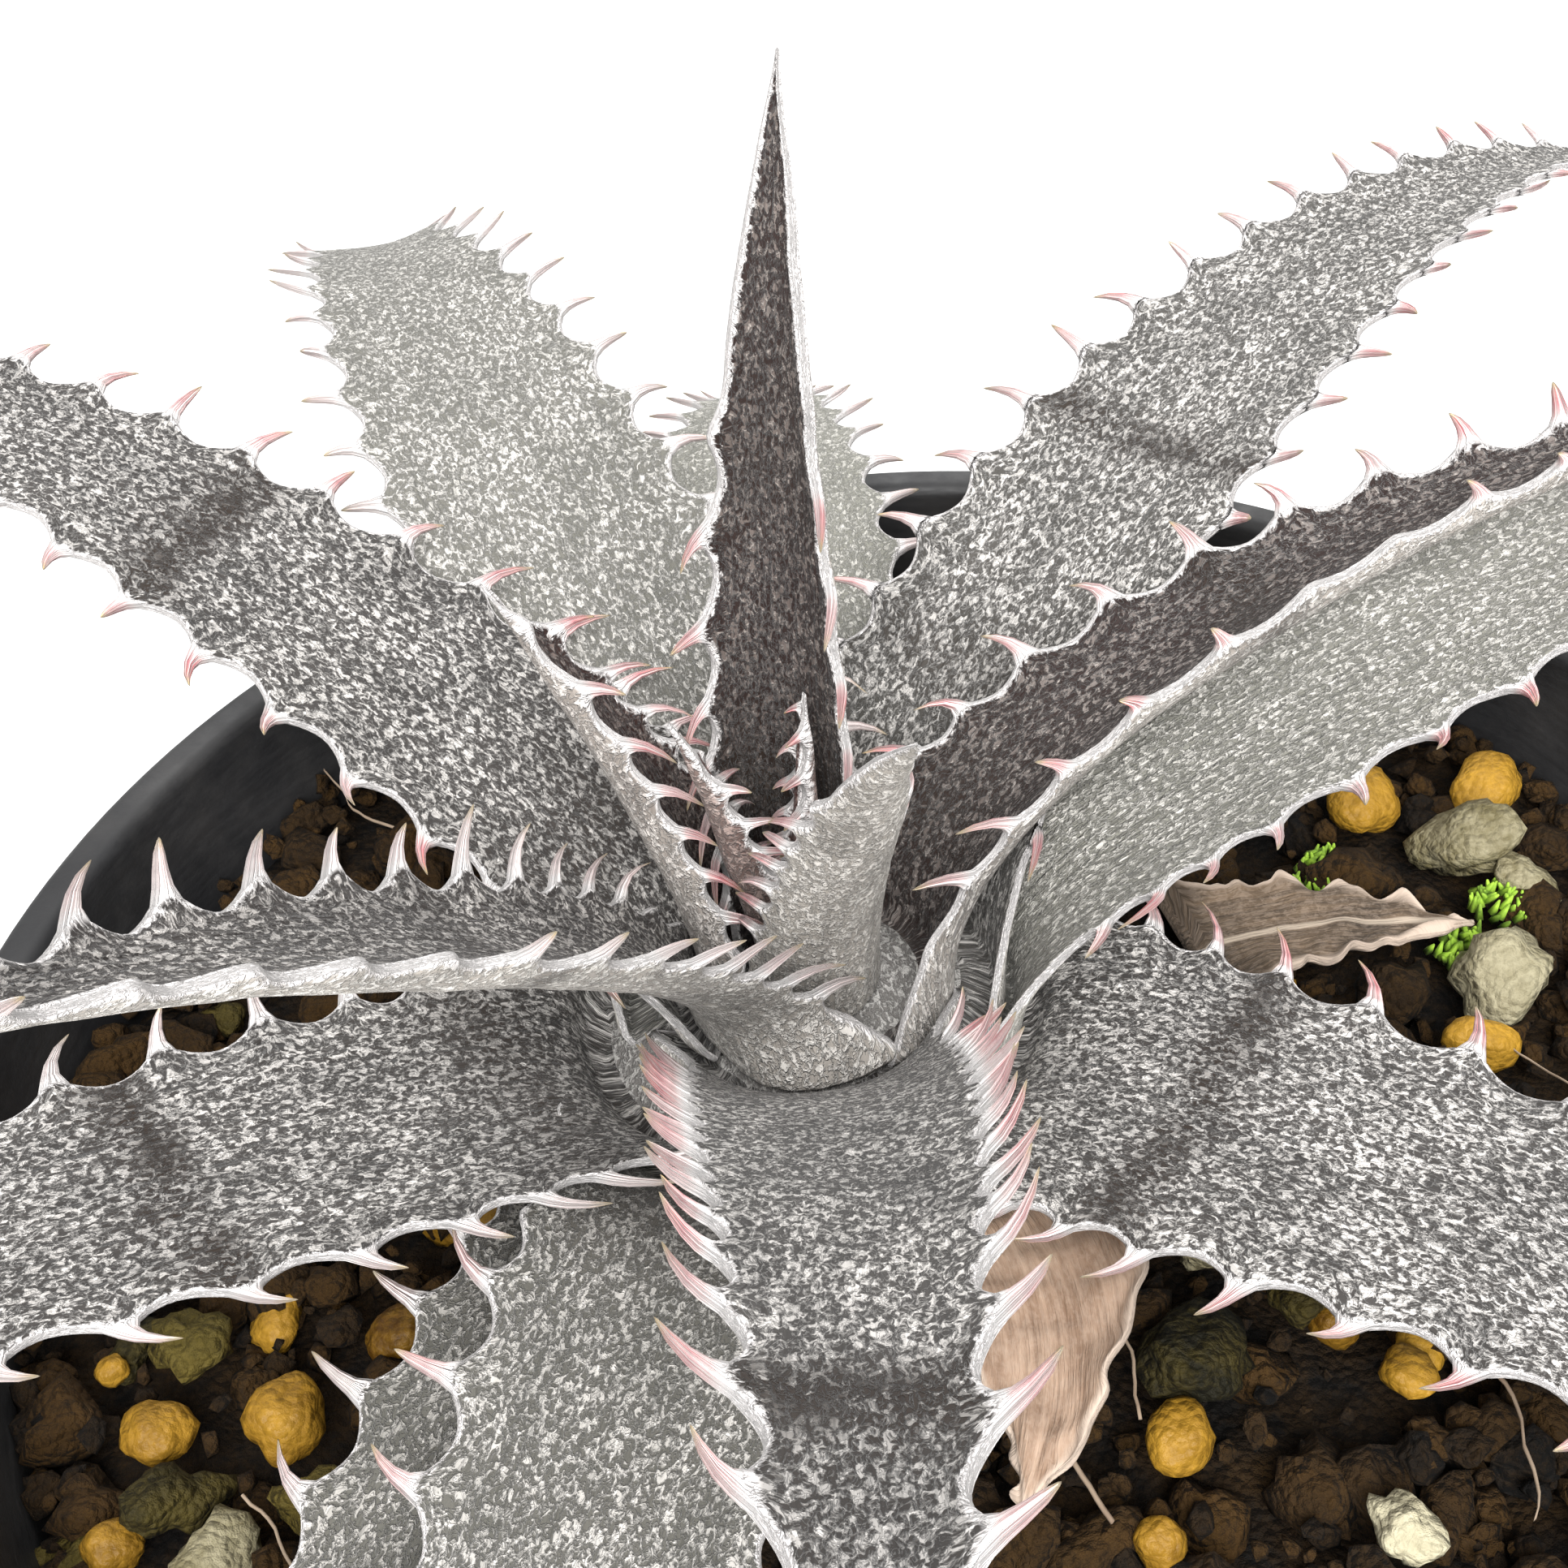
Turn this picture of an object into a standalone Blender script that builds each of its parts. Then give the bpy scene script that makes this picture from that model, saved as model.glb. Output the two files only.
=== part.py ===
"""Dyckia bromeliad with its round plastic pot and the granular soil it grows in.

The pot stands on z = 0 with its axis on the Z axis. Leaves are described by a short list of
driving sizes each, in millimetres and degrees, and lofted from those.
"""
import math
import random
from collections import namedtuple

import bmesh
import bpy
from mathutils import Matrix, Vector
from mathutils.bvhtree import BVHTree
from mathutils.geometry import delaunay_2d_cdt

MM = 0.001
OBJECT_NAME = "dyckia_in_pot"
GAP = 0.3 * MM
FUSE_TINY = 0.00001

# Pot
POT_HEIGHT = 120 * MM
RIM_RADIUS = 75 * MM
RIM_INNER_RADIUS = 71 * MM
RIM_DEPTH = 9 * MM
RIM_ROUNDING = 0.8 * MM
WALL_RADIUS = 72.6 * MM
BASE_RADIUS = 52 * MM
WALL_THICKNESS = 1.6 * MM
FLOOR_THICKNESS = 2.5 * MM
FOOT_ROUNDING = 1.5 * MM
POT_SIDES = 48
DRAIN_HOLES = 6
DRAIN_HOLE_RADIUS = 4 * MM
DRAIN_HOLE_CIRCLE = 36 * MM
DRAIN_HOLE_SIDES = 10

# Soil
SOIL_TOP = POT_HEIGHT - 10 * MM
SOIL_BOTTOM = FLOOR_THICKNESS + GAP
STEM_HOLE_RADIUS = 10.3 * MM
STEM_HOLE_DEPTH = 28 * MM
GRANULE_SPACING = 4.1 * MM
GRANULE_RADIUS = (2.4 * MM, 4.2 * MM)
GRANULE_RELIEF = 1.6 * MM
GRANULE_COUNT = 420
WALL_MARGIN = 0.7 * GRANULE_SPACING
HOLE_MARGIN = 0.6 * GRANULE_SPACING
SOIL_EDGE_POINTS = 96
HOLE_EDGE_POINTS = 20

# Stem, a short stout cone that carries the leaf bases
PLANT_X = -7.5 * MM
PLANT_Y = 7 * MM
CROWN_HEIGHT = POT_HEIGHT + 1 * MM
CROWN_SLOPE = 0.3
CROWN_RADIUS = 24.5 * MM
NECK_RADIUS = 10 * MM
SEAT_GAP = 0.5 * MM
STEM_SIDES = 24

# Leaves: one row each. Sheath is the distance of the leaf's base from the plant's axis. Heading
# is 0 towards the front and 90 to the right. Rise and bend are the blade's slope and how far it
# arches down, sweep its sideways curve, cup the half angle of its trough, and rise_out how
# quickly it leaves the upright sheath.
Leaf = namedtuple("Leaf", "name sheath heading rise bend length width sweep twist cup rise_out")
LEAVES = (
    Leaf("heart_leaf_inner", 1.0, 110, 88, 2, 26, 3.6, 0, 0, 60, 12),
    Leaf("heart_leaf_outer", 2.6, 290, 84, 14, 29, 6.5, 8, 5, 55, 14),
    Leaf("leaf_back_upright", 4.4, 171, 86, 11, 68, 14, -19, 8, 58, 12),
    Leaf("leaf_young_front", 6, 21, 71, 24, 51, 10.5, -10, 6, 36, 14),
    Leaf("leaf_young_left", 7.3, 254, 72, 9, 40, 12.5, 17, -7, 70, 12.5),
    Leaf("leaf_left_channelled", 8.9, 318, 49, 13, 92, 16.3, 20, 11, 51, 7.7),
    Leaf("leaf_left_upper", 10.5, 238, 37, 49, 113, 21.5, -5, 2, 12, 5),
    Leaf("leaf_right_channelled", 11.9, 113, 28, 33, 86, 16, -11, 13, 70, 9),
    Leaf("leaf_front", 13, 3, 50, 33, 104, 19.2, -7, -2, 29, 3.2),
    Leaf("leaf_back_left", 14.4, 207, 30.5, 84, 140, 26, -17, 1, 17, 9),
    Leaf("leaf_right_upper", 15.9, 139, 26, 50, 128, 23.5, -10, -4, 20, 10),
    Leaf("leaf_right", 17.3, 106, 20, 24, 122, 21, 4, 0, 20, 6),
    Leaf("leaf_left_lower", 18.3, 302, 24, 28, 125, 23, 0, 0, 15, 5),
    Leaf("leaf_right_lower", 19.1, 55, 14, 33, 91, 28, -20, 11, 4, 3.6),
    Leaf("leaf_front_left", 20.7, 342, 10, 40, 118, 22.5, 11, 2, 10, 7),
    Leaf("leaf_front_left_low", 22.1, 332, 8, 25, 105, 20, 8, 0, 8, 5),
    Leaf("leaf_back_low", 22.7, 179, 16, 64, 95, 25, 0, 0, 12, 6),
    Leaf("leaf_back_left_low", 23.9, 218, 7, 20, 68, 17, -1, 0, 12, 6),
)
DRY_LEAVES = (
    Leaf("dry_leaf_hanging", 22.6, 29, 7, 8, 28, 19, -58, -10, 18, 2),
    Leaf("dry_leaf_fallen", 34, 99, 1, 1, 22, 12, -22, 4, 25, 0.4),
)
DRY_LEAF_LIFTS = (0, 0.3 * MM)
SHEATH_ANGLE = 88
BEND_POWER = 1.3
TAPER_POWER = 1.9
WIDEST_WRAP = 1.9
TIGHTEST_CURL = 2.5
SHEATH_SPREAD = 1.2
SHEATH_FLARE = 0.1
FLARE_LENGTH = 6 * MM
BLADE_THICKNESS = (1.0 * MM, 2.2 * MM, 1.0 * MM)
DRY_THICKNESS = (0.9 * MM, 0.9 * MM, 0.7 * MM)
MARGIN_THICKNESS = 0.7 * MM
TIP_HALF_WIDTH = 0.6 * MM
BLADE_STATIONS = 12
BASE_CROWDING = 1.3
FLESHIEST = 0.5
COURSE_STEPS = 120
ACROSS = (-1, -1 / 3, 1 / 3, 1)

# Margin spines, hooked back towards the leaf's base. The waist and the tip give how far out,
# how far back and how far up each lies, as parts of the spine's own sizes, and how much it narrows.
SPINE_SPACING = 13 * MM
SPINE_START = 12 * MM
SPINE_END = 0.95
LAST_SPINE = 0.97
SPINE_LENGTH = (4.8 * MM, 2.2 * MM)
SPINE_ROOT_WIDTH = 0.62
SPINE_ROOT_THICKNESS = 0.9 * MM
SPINELESS_WIDTH = 5
SPINE_SINK = 0.9 * MM
SPINE_HOOK = 0.55
SPINE_RAISE = 0.2
SPINE_CLEARANCE = 1.25
SPINE_REACH_CLEARANCE = 1.08
SPINE_STAGGER = 0.25
SPINE_FULL_SIZE_WIDTH = 15
SPINE_FLARE = 1.4
SPINE_WAIST = (0.5, 0.18, 0.3, 0.5)
SPINE_TIP = (1, 1, 1, 0.22)
SPINE_TILTS = (0, 0.5, -0.5, 1)

BLACK_PLASTIC = (0.02, 0.02, 0.021, 1)
BROWN_SOIL = (0.10, 0.06, 0.035, 1)
STEM_BARK = (0.14, 0.09, 0.06, 1)
GREY_LEAF = (0.30, 0.30, 0.29, 1)
HEART_LEAF = (0.22, 0.12, 0.09, 1)
DRY_LEAF = (0.32, 0.22, 0.16, 1)
TURNED_EDGE_ANGLE = math.radians(30)
LEAF_EDGE_ANGLE = math.radians(40)


def material(name, colour, roughness):
    made = bpy.data.materials.new(name)
    made.use_nodes = True
    shader = made.node_tree.nodes["Principled BSDF"]
    shader.inputs["Base Color"].default_value = colour
    shader.inputs["Roughness"].default_value = roughness
    shader.inputs["Metallic"].default_value = 0
    return made


def add_object(name, bm, parent, collection, look):
    """Turn a bmesh into an object whose faces point outwards, with one material."""
    bmesh.ops.recalc_face_normals(bm, faces=bm.faces)
    mesh = bpy.data.meshes.new(name)
    bm.to_mesh(mesh)
    bm.free()
    mesh.shade_smooth()
    mesh.set_sharp_from_angle(angle=LEAF_EDGE_ANGLE)
    made = bpy.data.objects.new(name, mesh)
    made.parent = parent
    mesh.materials.append(look)
    collection.objects.link(made)
    return made


def apply_modifiers(subject):
    """Bake an object's modifiers into its mesh."""
    graph = bpy.context.evaluated_depsgraph_get()
    baked = bpy.data.meshes.new_from_object(subject.evaluated_get(graph))
    subject.modifiers.clear()
    subject.data = baked


def turned(name, profile, sides, parent, collection, look):
    """A solid of revolution from an open profile that starts and ends on the axis."""
    bm = bmesh.new()
    corners = [bm.verts.new((radius, 0, height)) for radius, height in profile]
    for lower, upper in zip(corners, corners[1:]):
        bm.edges.new((lower, upper))
    mesh = bpy.data.meshes.new(name)
    bm.to_mesh(mesh)
    bm.free()
    made = bpy.data.objects.new(name, mesh)
    made.parent = parent
    collection.objects.link(made)
    screw = made.modifiers.new("turn", "SCREW")
    screw.angle = math.radians(360)
    screw.steps = sides
    screw.render_steps = sides
    screw.use_merge_vertices = True
    screw.merge_threshold = FUSE_TINY
    screw.use_normal_calculate = True
    apply_modifiers(made)
    made.data.materials.clear()
    made.data.materials.append(look)
    made.data.set_sharp_from_angle(angle=TURNED_EDGE_ANGLE)
    return made


def wall_inner_radius(height):
    """The pot's inner radius at a height above its base."""
    top = WALL_RADIUS - WALL_THICKNESS
    base = BASE_RADIUS - WALL_THICKNESS
    return base + (top - base) * height / POT_HEIGHT


def make_pot(parent, collection, cutters):
    lip_bottom = POT_HEIGHT - RIM_DEPTH
    profile = [
        (0, FLOOR_THICKNESS),
        (wall_inner_radius(FLOOR_THICKNESS), FLOOR_THICKNESS),
        (RIM_INNER_RADIUS, POT_HEIGHT - RIM_ROUNDING),
        (RIM_INNER_RADIUS + RIM_ROUNDING, POT_HEIGHT),
        (RIM_RADIUS - RIM_ROUNDING, POT_HEIGHT),
        (RIM_RADIUS, POT_HEIGHT - RIM_ROUNDING),
        (RIM_RADIUS, lip_bottom),
        (wall_inner_radius(lip_bottom) + WALL_THICKNESS, lip_bottom),
        (BASE_RADIUS, FOOT_ROUNDING),
        (BASE_RADIUS - FOOT_ROUNDING, 0),
        (0, 0),
    ]
    look = material("black_plastic", BLACK_PLASTIC, 0.55)
    pot = turned("pot", profile, POT_SIDES, parent, collection, look)
    drill = bmesh.new()
    for index in range(DRAIN_HOLES):
        angle = 2 * math.pi * index / DRAIN_HOLES
        centre = Vector((math.cos(angle), math.sin(angle), 0)) * DRAIN_HOLE_CIRCLE
        bmesh.ops.create_cone(drill, cap_ends=True, segments=DRAIN_HOLE_SIDES,
                              radius1=DRAIN_HOLE_RADIUS, radius2=DRAIN_HOLE_RADIUS,
                              depth=4 * FLOOR_THICKNESS, matrix=Matrix.Translation(centre))
    cutter = add_object("drain_hole_cutter", drill, parent, cutters, look)
    cutter.hide_render = True
    cutter.display_type = "WIRE"
    cut = pot.modifiers.new("drain_holes", "BOOLEAN")
    cut.operation = "DIFFERENCE"
    cut.object = cutter
    return pot


def granule_height(x, y, granules):
    """Height of the soil's crumbly surface above its mean level, from domes of several sizes."""
    height = -GRANULE_RELIEF
    for gx, gy, radius, lift in granules:
        across = (x - gx) ** 2 + (y - gy) ** 2
        if across < radius * radius:
            dome = math.sqrt(radius * radius - across) - radius
            height = max(height, dome + lift)
    return height


def soil_surface_points(edge_radius):
    """A hexagonal net of points between the stem's hole and the pot's wall."""
    hole = Vector((PLANT_X, PLANT_Y))
    points = []
    for count, radius, centre in ((HOLE_EDGE_POINTS, STEM_HOLE_RADIUS, hole),
                                  (SOIL_EDGE_POINTS, edge_radius, Vector((0, 0)))):
        for index in range(count):
            angle = 2 * math.pi * index / count
            points.append(centre + Vector((math.cos(angle), math.sin(angle))) * radius)
    rows = math.ceil(edge_radius / (GRANULE_SPACING * math.sqrt(0.75)))
    for row in range(-rows, rows + 1):
        for column in range(-2 * rows, 2 * rows + 1):
            point = Vector((column + 0.5 * (row % 2), row * math.sqrt(0.75))) * GRANULE_SPACING
            inside = point.length < edge_radius - WALL_MARGIN
            if inside and (point - hole).length > STEM_HOLE_RADIUS + HOLE_MARGIN:
                points.append(point)
    return points


def close_downwards(bm, edges, floor, taper):
    """Extrude a ring of edges down to a flat floor and fill it."""
    grown = bmesh.ops.extrude_edge_only(bm, edges=edges)["geom"]
    for vert in grown:
        if isinstance(vert, bmesh.types.BMVert):
            vert.co = Vector((vert.co.x * taper, vert.co.y * taper, floor))
    rim = [edge for edge in grown if isinstance(edge, bmesh.types.BMEdge)]
    bmesh.ops.holes_fill(bm, edges=rim, sides=0)


def make_soil(parent, collection):
    """The filling of the pot, with a granular top and a plain hole for the stem."""
    random.seed(7)
    edge_radius = wall_inner_radius(SOIL_TOP) - GAP
    granules = []
    for _ in range(GRANULE_COUNT):
        angle = random.uniform(0, 2 * math.pi)
        reach = edge_radius * math.sqrt(random.random())
        granules.append((reach * math.cos(angle), reach * math.sin(angle),
                         random.uniform(*GRANULE_RADIUS),
                         random.uniform(-GRANULE_RELIEF, GRANULE_RELIEF)))
    points = soil_surface_points(edge_radius)
    rings = HOLE_EDGE_POINTS + SOIL_EDGE_POINTS
    found, _, triangles, *_ = delaunay_2d_cdt(points, [], [], 0, FUSE_TINY)
    hole = Vector((PLANT_X, PLANT_Y))
    bm = bmesh.new()
    verts = []
    for index, point in enumerate(found):
        relief = 0 if index < rings else granule_height(point.x, point.y, granules)
        verts.append(bm.verts.new((point.x, point.y, SOIL_TOP + relief)))
    for triangle in triangles:
        centre = sum((found[index] for index in triangle), Vector((0, 0))) / 3
        if (centre - hole).length > STEM_HOLE_RADIUS * 0.97:
            bm.faces.new([verts[index] for index in triangle])
    edges = [edge for edge in bm.edges if edge.is_boundary]
    at_hole = [edge for edge in edges if (edge.verts[0].co.xy - hole).length < 2 * STEM_HOLE_RADIUS]
    at_wall = [edge for edge in edges if edge not in at_hole]
    taper = (wall_inner_radius(SOIL_BOTTOM) - GAP) / edge_radius
    close_downwards(bm, at_wall, SOIL_BOTTOM, taper)
    close_downwards(bm, at_hole, SOIL_TOP - STEM_HOLE_DEPTH, 1)
    look = material("granular_soil", BROWN_SOIL, 0.95)
    return add_object("soil", bm, parent, collection, look)


def make_stem(parent, collection):
    """A short stout caudex: a cone under the leaf bases on a neck that goes into the soil."""
    edge_drop = CROWN_SLOPE * CROWN_RADIUS
    crown_edge = CROWN_HEIGHT - SEAT_GAP - edge_drop
    profile = [
        (0, CROWN_HEIGHT - SEAT_GAP),
        (CROWN_RADIUS, crown_edge),
        (CROWN_RADIUS - 1 * MM, crown_edge - 0.8 * MM),
        (NECK_RADIUS + 1.5 * MM, SOIL_TOP + 2.2 * MM),
        (NECK_RADIUS, SOIL_TOP + 0.2 * MM),
        (NECK_RADIUS - 1 * MM, SOIL_TOP - STEM_HOLE_DEPTH + 4 * MM),
        (NECK_RADIUS - 4 * MM, SOIL_TOP - STEM_HOLE_DEPTH + GAP),
        (0, SOIL_TOP - STEM_HOLE_DEPTH + GAP),
    ]
    look = material("stem_bark", STEM_BARK, 0.9)
    stem = turned("stem", profile, STEM_SIDES, parent, collection, look)
    stem.location = (PLANT_X, PLANT_Y, 0)
    return stem


Station = namedtuple("Station", "centre along across up half_width half_angle along_fraction")


def leaf_start(leaf, lift):
    """Where a leaf's base stands, lifted from the sloping crown of the stem."""
    heading = math.radians(leaf.heading)
    sheath = leaf.sheath * MM
    return Vector((PLANT_X + sheath * math.sin(heading), PLANT_Y - sheath * math.cos(heading),
                   CROWN_HEIGHT - CROWN_SLOPE * sheath + lift))


def leaf_course(leaf, start):
    """Stations along a leaf's midrib, from the upright sheath out along the arching blade."""
    length = leaf.length * MM
    rise_out = leaf.rise_out * MM
    point = start.copy()
    base_width = leaf.width * (1 + SHEATH_FLARE)
    base_wrap = min(base_width / 2 / max(leaf.sheath, TIGHTEST_CURL), WIDEST_WRAP)
    course = []
    for step in range(COURSE_STEPS + 1):
        fraction = step / COURSE_STEPS
        sheathed = math.exp(-fraction * length / rise_out)
        slope = leaf.rise + (SHEATH_ANGLE - leaf.rise) * sheathed - leaf.bend * fraction ** BEND_POWER
        slope = math.radians(slope)
        heading = math.radians(leaf.heading + leaf.sweep * fraction)
        level = Vector((math.sin(heading), -math.cos(heading), 0))
        along = level * math.cos(slope) + Vector((0, 0, math.sin(slope)))
        across = Vector((-math.cos(heading), -math.sin(heading), 0))
        if step:
            point = point + along * length / COURSE_STEPS
        turn = Matrix.Rotation(-math.radians(leaf.twist) * fraction, 3, along)
        across = turn @ across
        up = across.cross(along)
        flare = 1 + SHEATH_FLARE * math.exp(-fraction * length / FLARE_LENGTH)
        taper = (1 - fraction ** TAPER_POWER) * flare
        half_width = max(leaf.width / 2 * MM * taper, TIP_HALF_WIDTH)
        trough = math.exp(-fraction * length / rise_out / SHEATH_SPREAD)
        half_angle = base_wrap * trough + math.radians(leaf.cup) * (1 - trough)
        course.append(Station(point, along, across, up, half_width, half_angle, fraction))
    return course


def blade_point(station, side):
    """A point of the blade's middle surface and its normal; side runs from -1 to 1 across."""
    radius = station.half_width / station.half_angle
    angle = station.half_angle * side
    offset = station.across * math.sin(angle) + station.up * (1 - math.cos(angle))
    normal = station.up * math.cos(angle) - station.across * math.sin(angle)
    return station.centre + offset * radius, normal


def blade_thickness(fraction, side, thickness):
    """Blade thickness: thin in the sheath, fleshy in the lower blade, thin at margin and tip."""
    base, middle, tip = thickness
    if fraction < FLESHIEST:
        midrib = base + (middle - base) * math.sin(math.pi / 2 * fraction / FLESHIEST) ** 2
    else:
        midrib = middle + (tip - middle) * (fraction - FLESHIEST) / (1 - FLESHIEST)
    return MARGIN_THICKNESS + (midrib - MARGIN_THICKNESS) * (1 - side * side)


def loft_blade(course, thickness):
    """Loft the blade's sections, with both faces split into triangles alike."""
    bm = bmesh.new()
    rings = []
    for index in range(BLADE_STATIONS):
        fraction = (index / (BLADE_STATIONS - 1)) ** BASE_CROWDING
        station = course[round(fraction * COURSE_STEPS)]
        faces = []
        for sign in (1, -1):
            row = []
            for side in ACROSS:
                point, normal = blade_point(station, side)
                half = blade_thickness(station.along_fraction, side, thickness) / 2
                row.append(bm.verts.new(point + normal * half * sign))
            faces.append(row)
        rings.append(faces)
    for (top, under), (next_top, next_under) in zip(rings, rings[1:]):
        for row, next_row in ((top, next_top), (under, next_under)):
            for column in range(len(ACROSS) - 1):
                bm.faces.new((row[column], row[column + 1], next_row[column + 1]))
                bm.faces.new((row[column], next_row[column + 1], next_row[column]))
        for column in (0, len(ACROSS) - 1):
            bm.faces.new((top[column], under[column], next_under[column]))
            bm.faces.new((top[column], next_under[column], next_top[column]))
    for top, under in (rings[0], rings[-1]):
        for column in range(len(ACROSS) - 1):
            bm.faces.new((top[column], top[column + 1], under[column + 1], under[column]))
    bmesh.ops.recalc_face_normals(bm, faces=bm.faces)
    return bm


def spine_mesh(station, side, length, tilt, swell=1):
    """One hooked three-sided spine on a leaf's margin."""
    margin, normal = blade_point(station, side)
    outward = (normal.cross(station.along) * -side).normalized()
    if outward.dot(margin - station.centre) < 0:
        outward = -outward
    outward = (outward + normal * tilt).normalized()
    width = SPINE_ROOT_WIDTH * length / 2 * swell
    depth = SPINE_ROOT_THICKNESS / 2 * swell
    bm = bmesh.new()
    frame = Matrix((station.along, normal, outward)).transposed().to_4x4()
    root = margin - outward * SPINE_SINK
    bmesh.ops.create_circle(bm, cap_ends=True, segments=3, radius=1,
                                   matrix=Matrix.Translation(root) @ frame
                            @ Matrix.Diagonal((width, depth * SPINE_FLARE, 1, 1)))
    face = bm.faces[:][0]
    centre = root
    for reach, hook, raise_up, shrink in (SPINE_WAIST, SPINE_TIP):
        face = bmesh.ops.extrude_discrete_faces(bm, faces=[face])["faces"][0]
        target = (root + outward * (SPINE_SINK + length * reach)
                  - station.along * length * SPINE_HOOK * hook
                  + normal * length * SPINE_RAISE * raise_up)
        for vert in face.verts:
            vert.co = target + (vert.co - centre) * shrink
        centre = target
    bmesh.ops.holes_fill(bm, edges=[edge for edge in bm.edges if edge.is_boundary], sides=0)
    bmesh.ops.recalc_face_normals(bm, faces=bm.faces)
    return bm


def surface_tree(subject):
    """The surface of an object or a bmesh, to test what crosses it."""
    if isinstance(subject, bmesh.types.BMesh):
        return BVHTree.FromBMesh(subject)
    return BVHTree.FromPolygons([vert.co for vert in subject.data.vertices],
                                [tuple(face.vertices) for face in subject.data.polygons])


def spine_places(leaf, course):
    """Stations, sides and lengths of the spines down both margins of a leaf."""
    length = leaf.length * MM
    if leaf.width < SPINELESS_WIDTH:
        return
    count = max(3, round((length * SPINE_END - SPINE_START) / SPINE_SPACING))
    scale = min(1, leaf.width / SPINE_FULL_SIZE_WIDTH)
    for index in range(count + 1):
        fraction = (SPINE_START + (length * SPINE_END - SPINE_START) * index / count) / length
        for side in (-1, 1):
            stagger = SPINE_STAGGER * side * SPINE_SPACING / length
            shifted = min(fraction + stagger, LAST_SPINE)
            station = course[round(shifted * COURSE_STEPS)]
            size = SPINE_LENGTH[0] + (SPINE_LENGTH[1] - SPINE_LENGTH[0]) * fraction ** 2
            yield station, side, size * scale


def add_spines(blade, leaf, course, others, workshop):
    """Union a leaf's spines to its blade, leaving out those that a neighbour would cross."""
    spines = []
    for station, side, size in spine_places(leaf, course):
        for tilt in SPINE_TILTS:
            wide = spine_mesh(station, side, size * SPINE_REACH_CLEARANCE, tilt,
                              SPINE_CLEARANCE)
            crossing = any(surface_tree(wide).overlap(other) for other in others)
            wide.free()
            if not crossing:
                bm = spine_mesh(station, side, size, tilt)
                spines.append(add_object("spine", bm, None, workshop, blade.data.materials[0]))
                others.append(surface_tree(spines[-1]))
                break
    if not spines:
        return
    join = blade.modifiers.new("spines", "BOOLEAN")
    join.operation = "UNION"
    join.operand_type = "COLLECTION"
    join.collection = workshop
    apply_modifiers(blade)
    for spine in spines:
        bpy.data.objects.remove(spine)


def make_leaves(parent, collection, workshop):
    looks = {"heart": material("heart_leaf", HEART_LEAF, 0.6),
             "leaf": material("grey_leaf", GREY_LEAF, 0.75),
             "dry": material("dry_leaf", DRY_LEAF, 0.9)}
    blades = []
    fresh = [(leaf, 0, BLADE_THICKNESS) for leaf in LEAVES]
    dry = [(leaf, lift, DRY_THICKNESS) for leaf, lift in zip(DRY_LEAVES, DRY_LEAF_LIFTS)]
    for leaf, lift, thickness in fresh + dry:
        course = leaf_course(leaf, leaf_start(leaf, lift))
        bm = loft_blade(course, thickness)
        look = looks[leaf.name.split("_")[0]]
        blades.append((add_object(leaf.name, bm, parent, collection, look), leaf, course))
    trees = {leaf.name: surface_tree(blade) for blade, leaf, course in blades}
    placed = []
    for blade, leaf, course in blades:
        if leaf in DRY_LEAVES:
            continue
        others = placed + [tree for name, tree in trees.items() if name != leaf.name]
        known = len(others)
        add_spines(blade, leaf, course, others, workshop)
        placed.extend(others[known:])


def main():
    for old in list(bpy.data.objects):
        bpy.data.objects.remove(old)
    collection = bpy.data.collections.new(OBJECT_NAME)
    cutters = bpy.data.collections.new("cutters")
    workshop = bpy.data.collections.new("spines_to_join")
    for made in (collection, cutters, workshop):
        bpy.context.scene.collection.children.link(made)
    parent = bpy.data.objects.new("plant_in_pot", None)
    collection.objects.link(parent)
    make_pot(parent, collection, cutters)
    make_soil(parent, collection)
    make_stem(parent, collection)
    make_leaves(parent, collection, workshop)
    bpy.data.collections.remove(workshop)


main()
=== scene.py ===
"""Dyckia bromeliad in its pot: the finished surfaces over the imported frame."""
import math
import random
from collections import namedtuple

import bmesh
import bpy
from mathutils import Matrix, Vector, noise
from mathutils.bvhtree import BVHTree


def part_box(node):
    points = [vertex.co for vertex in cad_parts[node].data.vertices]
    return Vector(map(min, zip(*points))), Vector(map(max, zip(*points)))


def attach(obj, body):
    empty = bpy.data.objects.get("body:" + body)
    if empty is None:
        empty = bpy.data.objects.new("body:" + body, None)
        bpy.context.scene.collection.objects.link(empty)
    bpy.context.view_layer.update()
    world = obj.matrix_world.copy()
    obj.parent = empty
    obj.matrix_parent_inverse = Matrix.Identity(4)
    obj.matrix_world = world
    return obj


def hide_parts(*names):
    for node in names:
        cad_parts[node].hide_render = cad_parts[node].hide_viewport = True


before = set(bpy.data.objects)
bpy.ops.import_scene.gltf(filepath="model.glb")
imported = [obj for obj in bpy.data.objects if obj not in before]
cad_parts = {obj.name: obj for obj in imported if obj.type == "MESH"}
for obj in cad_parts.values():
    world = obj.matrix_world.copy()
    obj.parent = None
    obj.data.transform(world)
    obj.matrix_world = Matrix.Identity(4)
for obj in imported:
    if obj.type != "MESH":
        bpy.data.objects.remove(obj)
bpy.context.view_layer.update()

MM = 0.001
random.seed(11)

# Camera, measured from the centre of the pot's rim
RIM_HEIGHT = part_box("pot")[1][2]
CAMERA_TARGET = Vector((-7.3, 28.3, 0)) * MM + Vector((0, 0, RIM_HEIGHT))
CAMERA_DISTANCE = 174 * MM
CAMERA_ELEVATION = 42.1
CAMERA_ROLL = -5.7
CAMERA_ANGLE = 42

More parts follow.
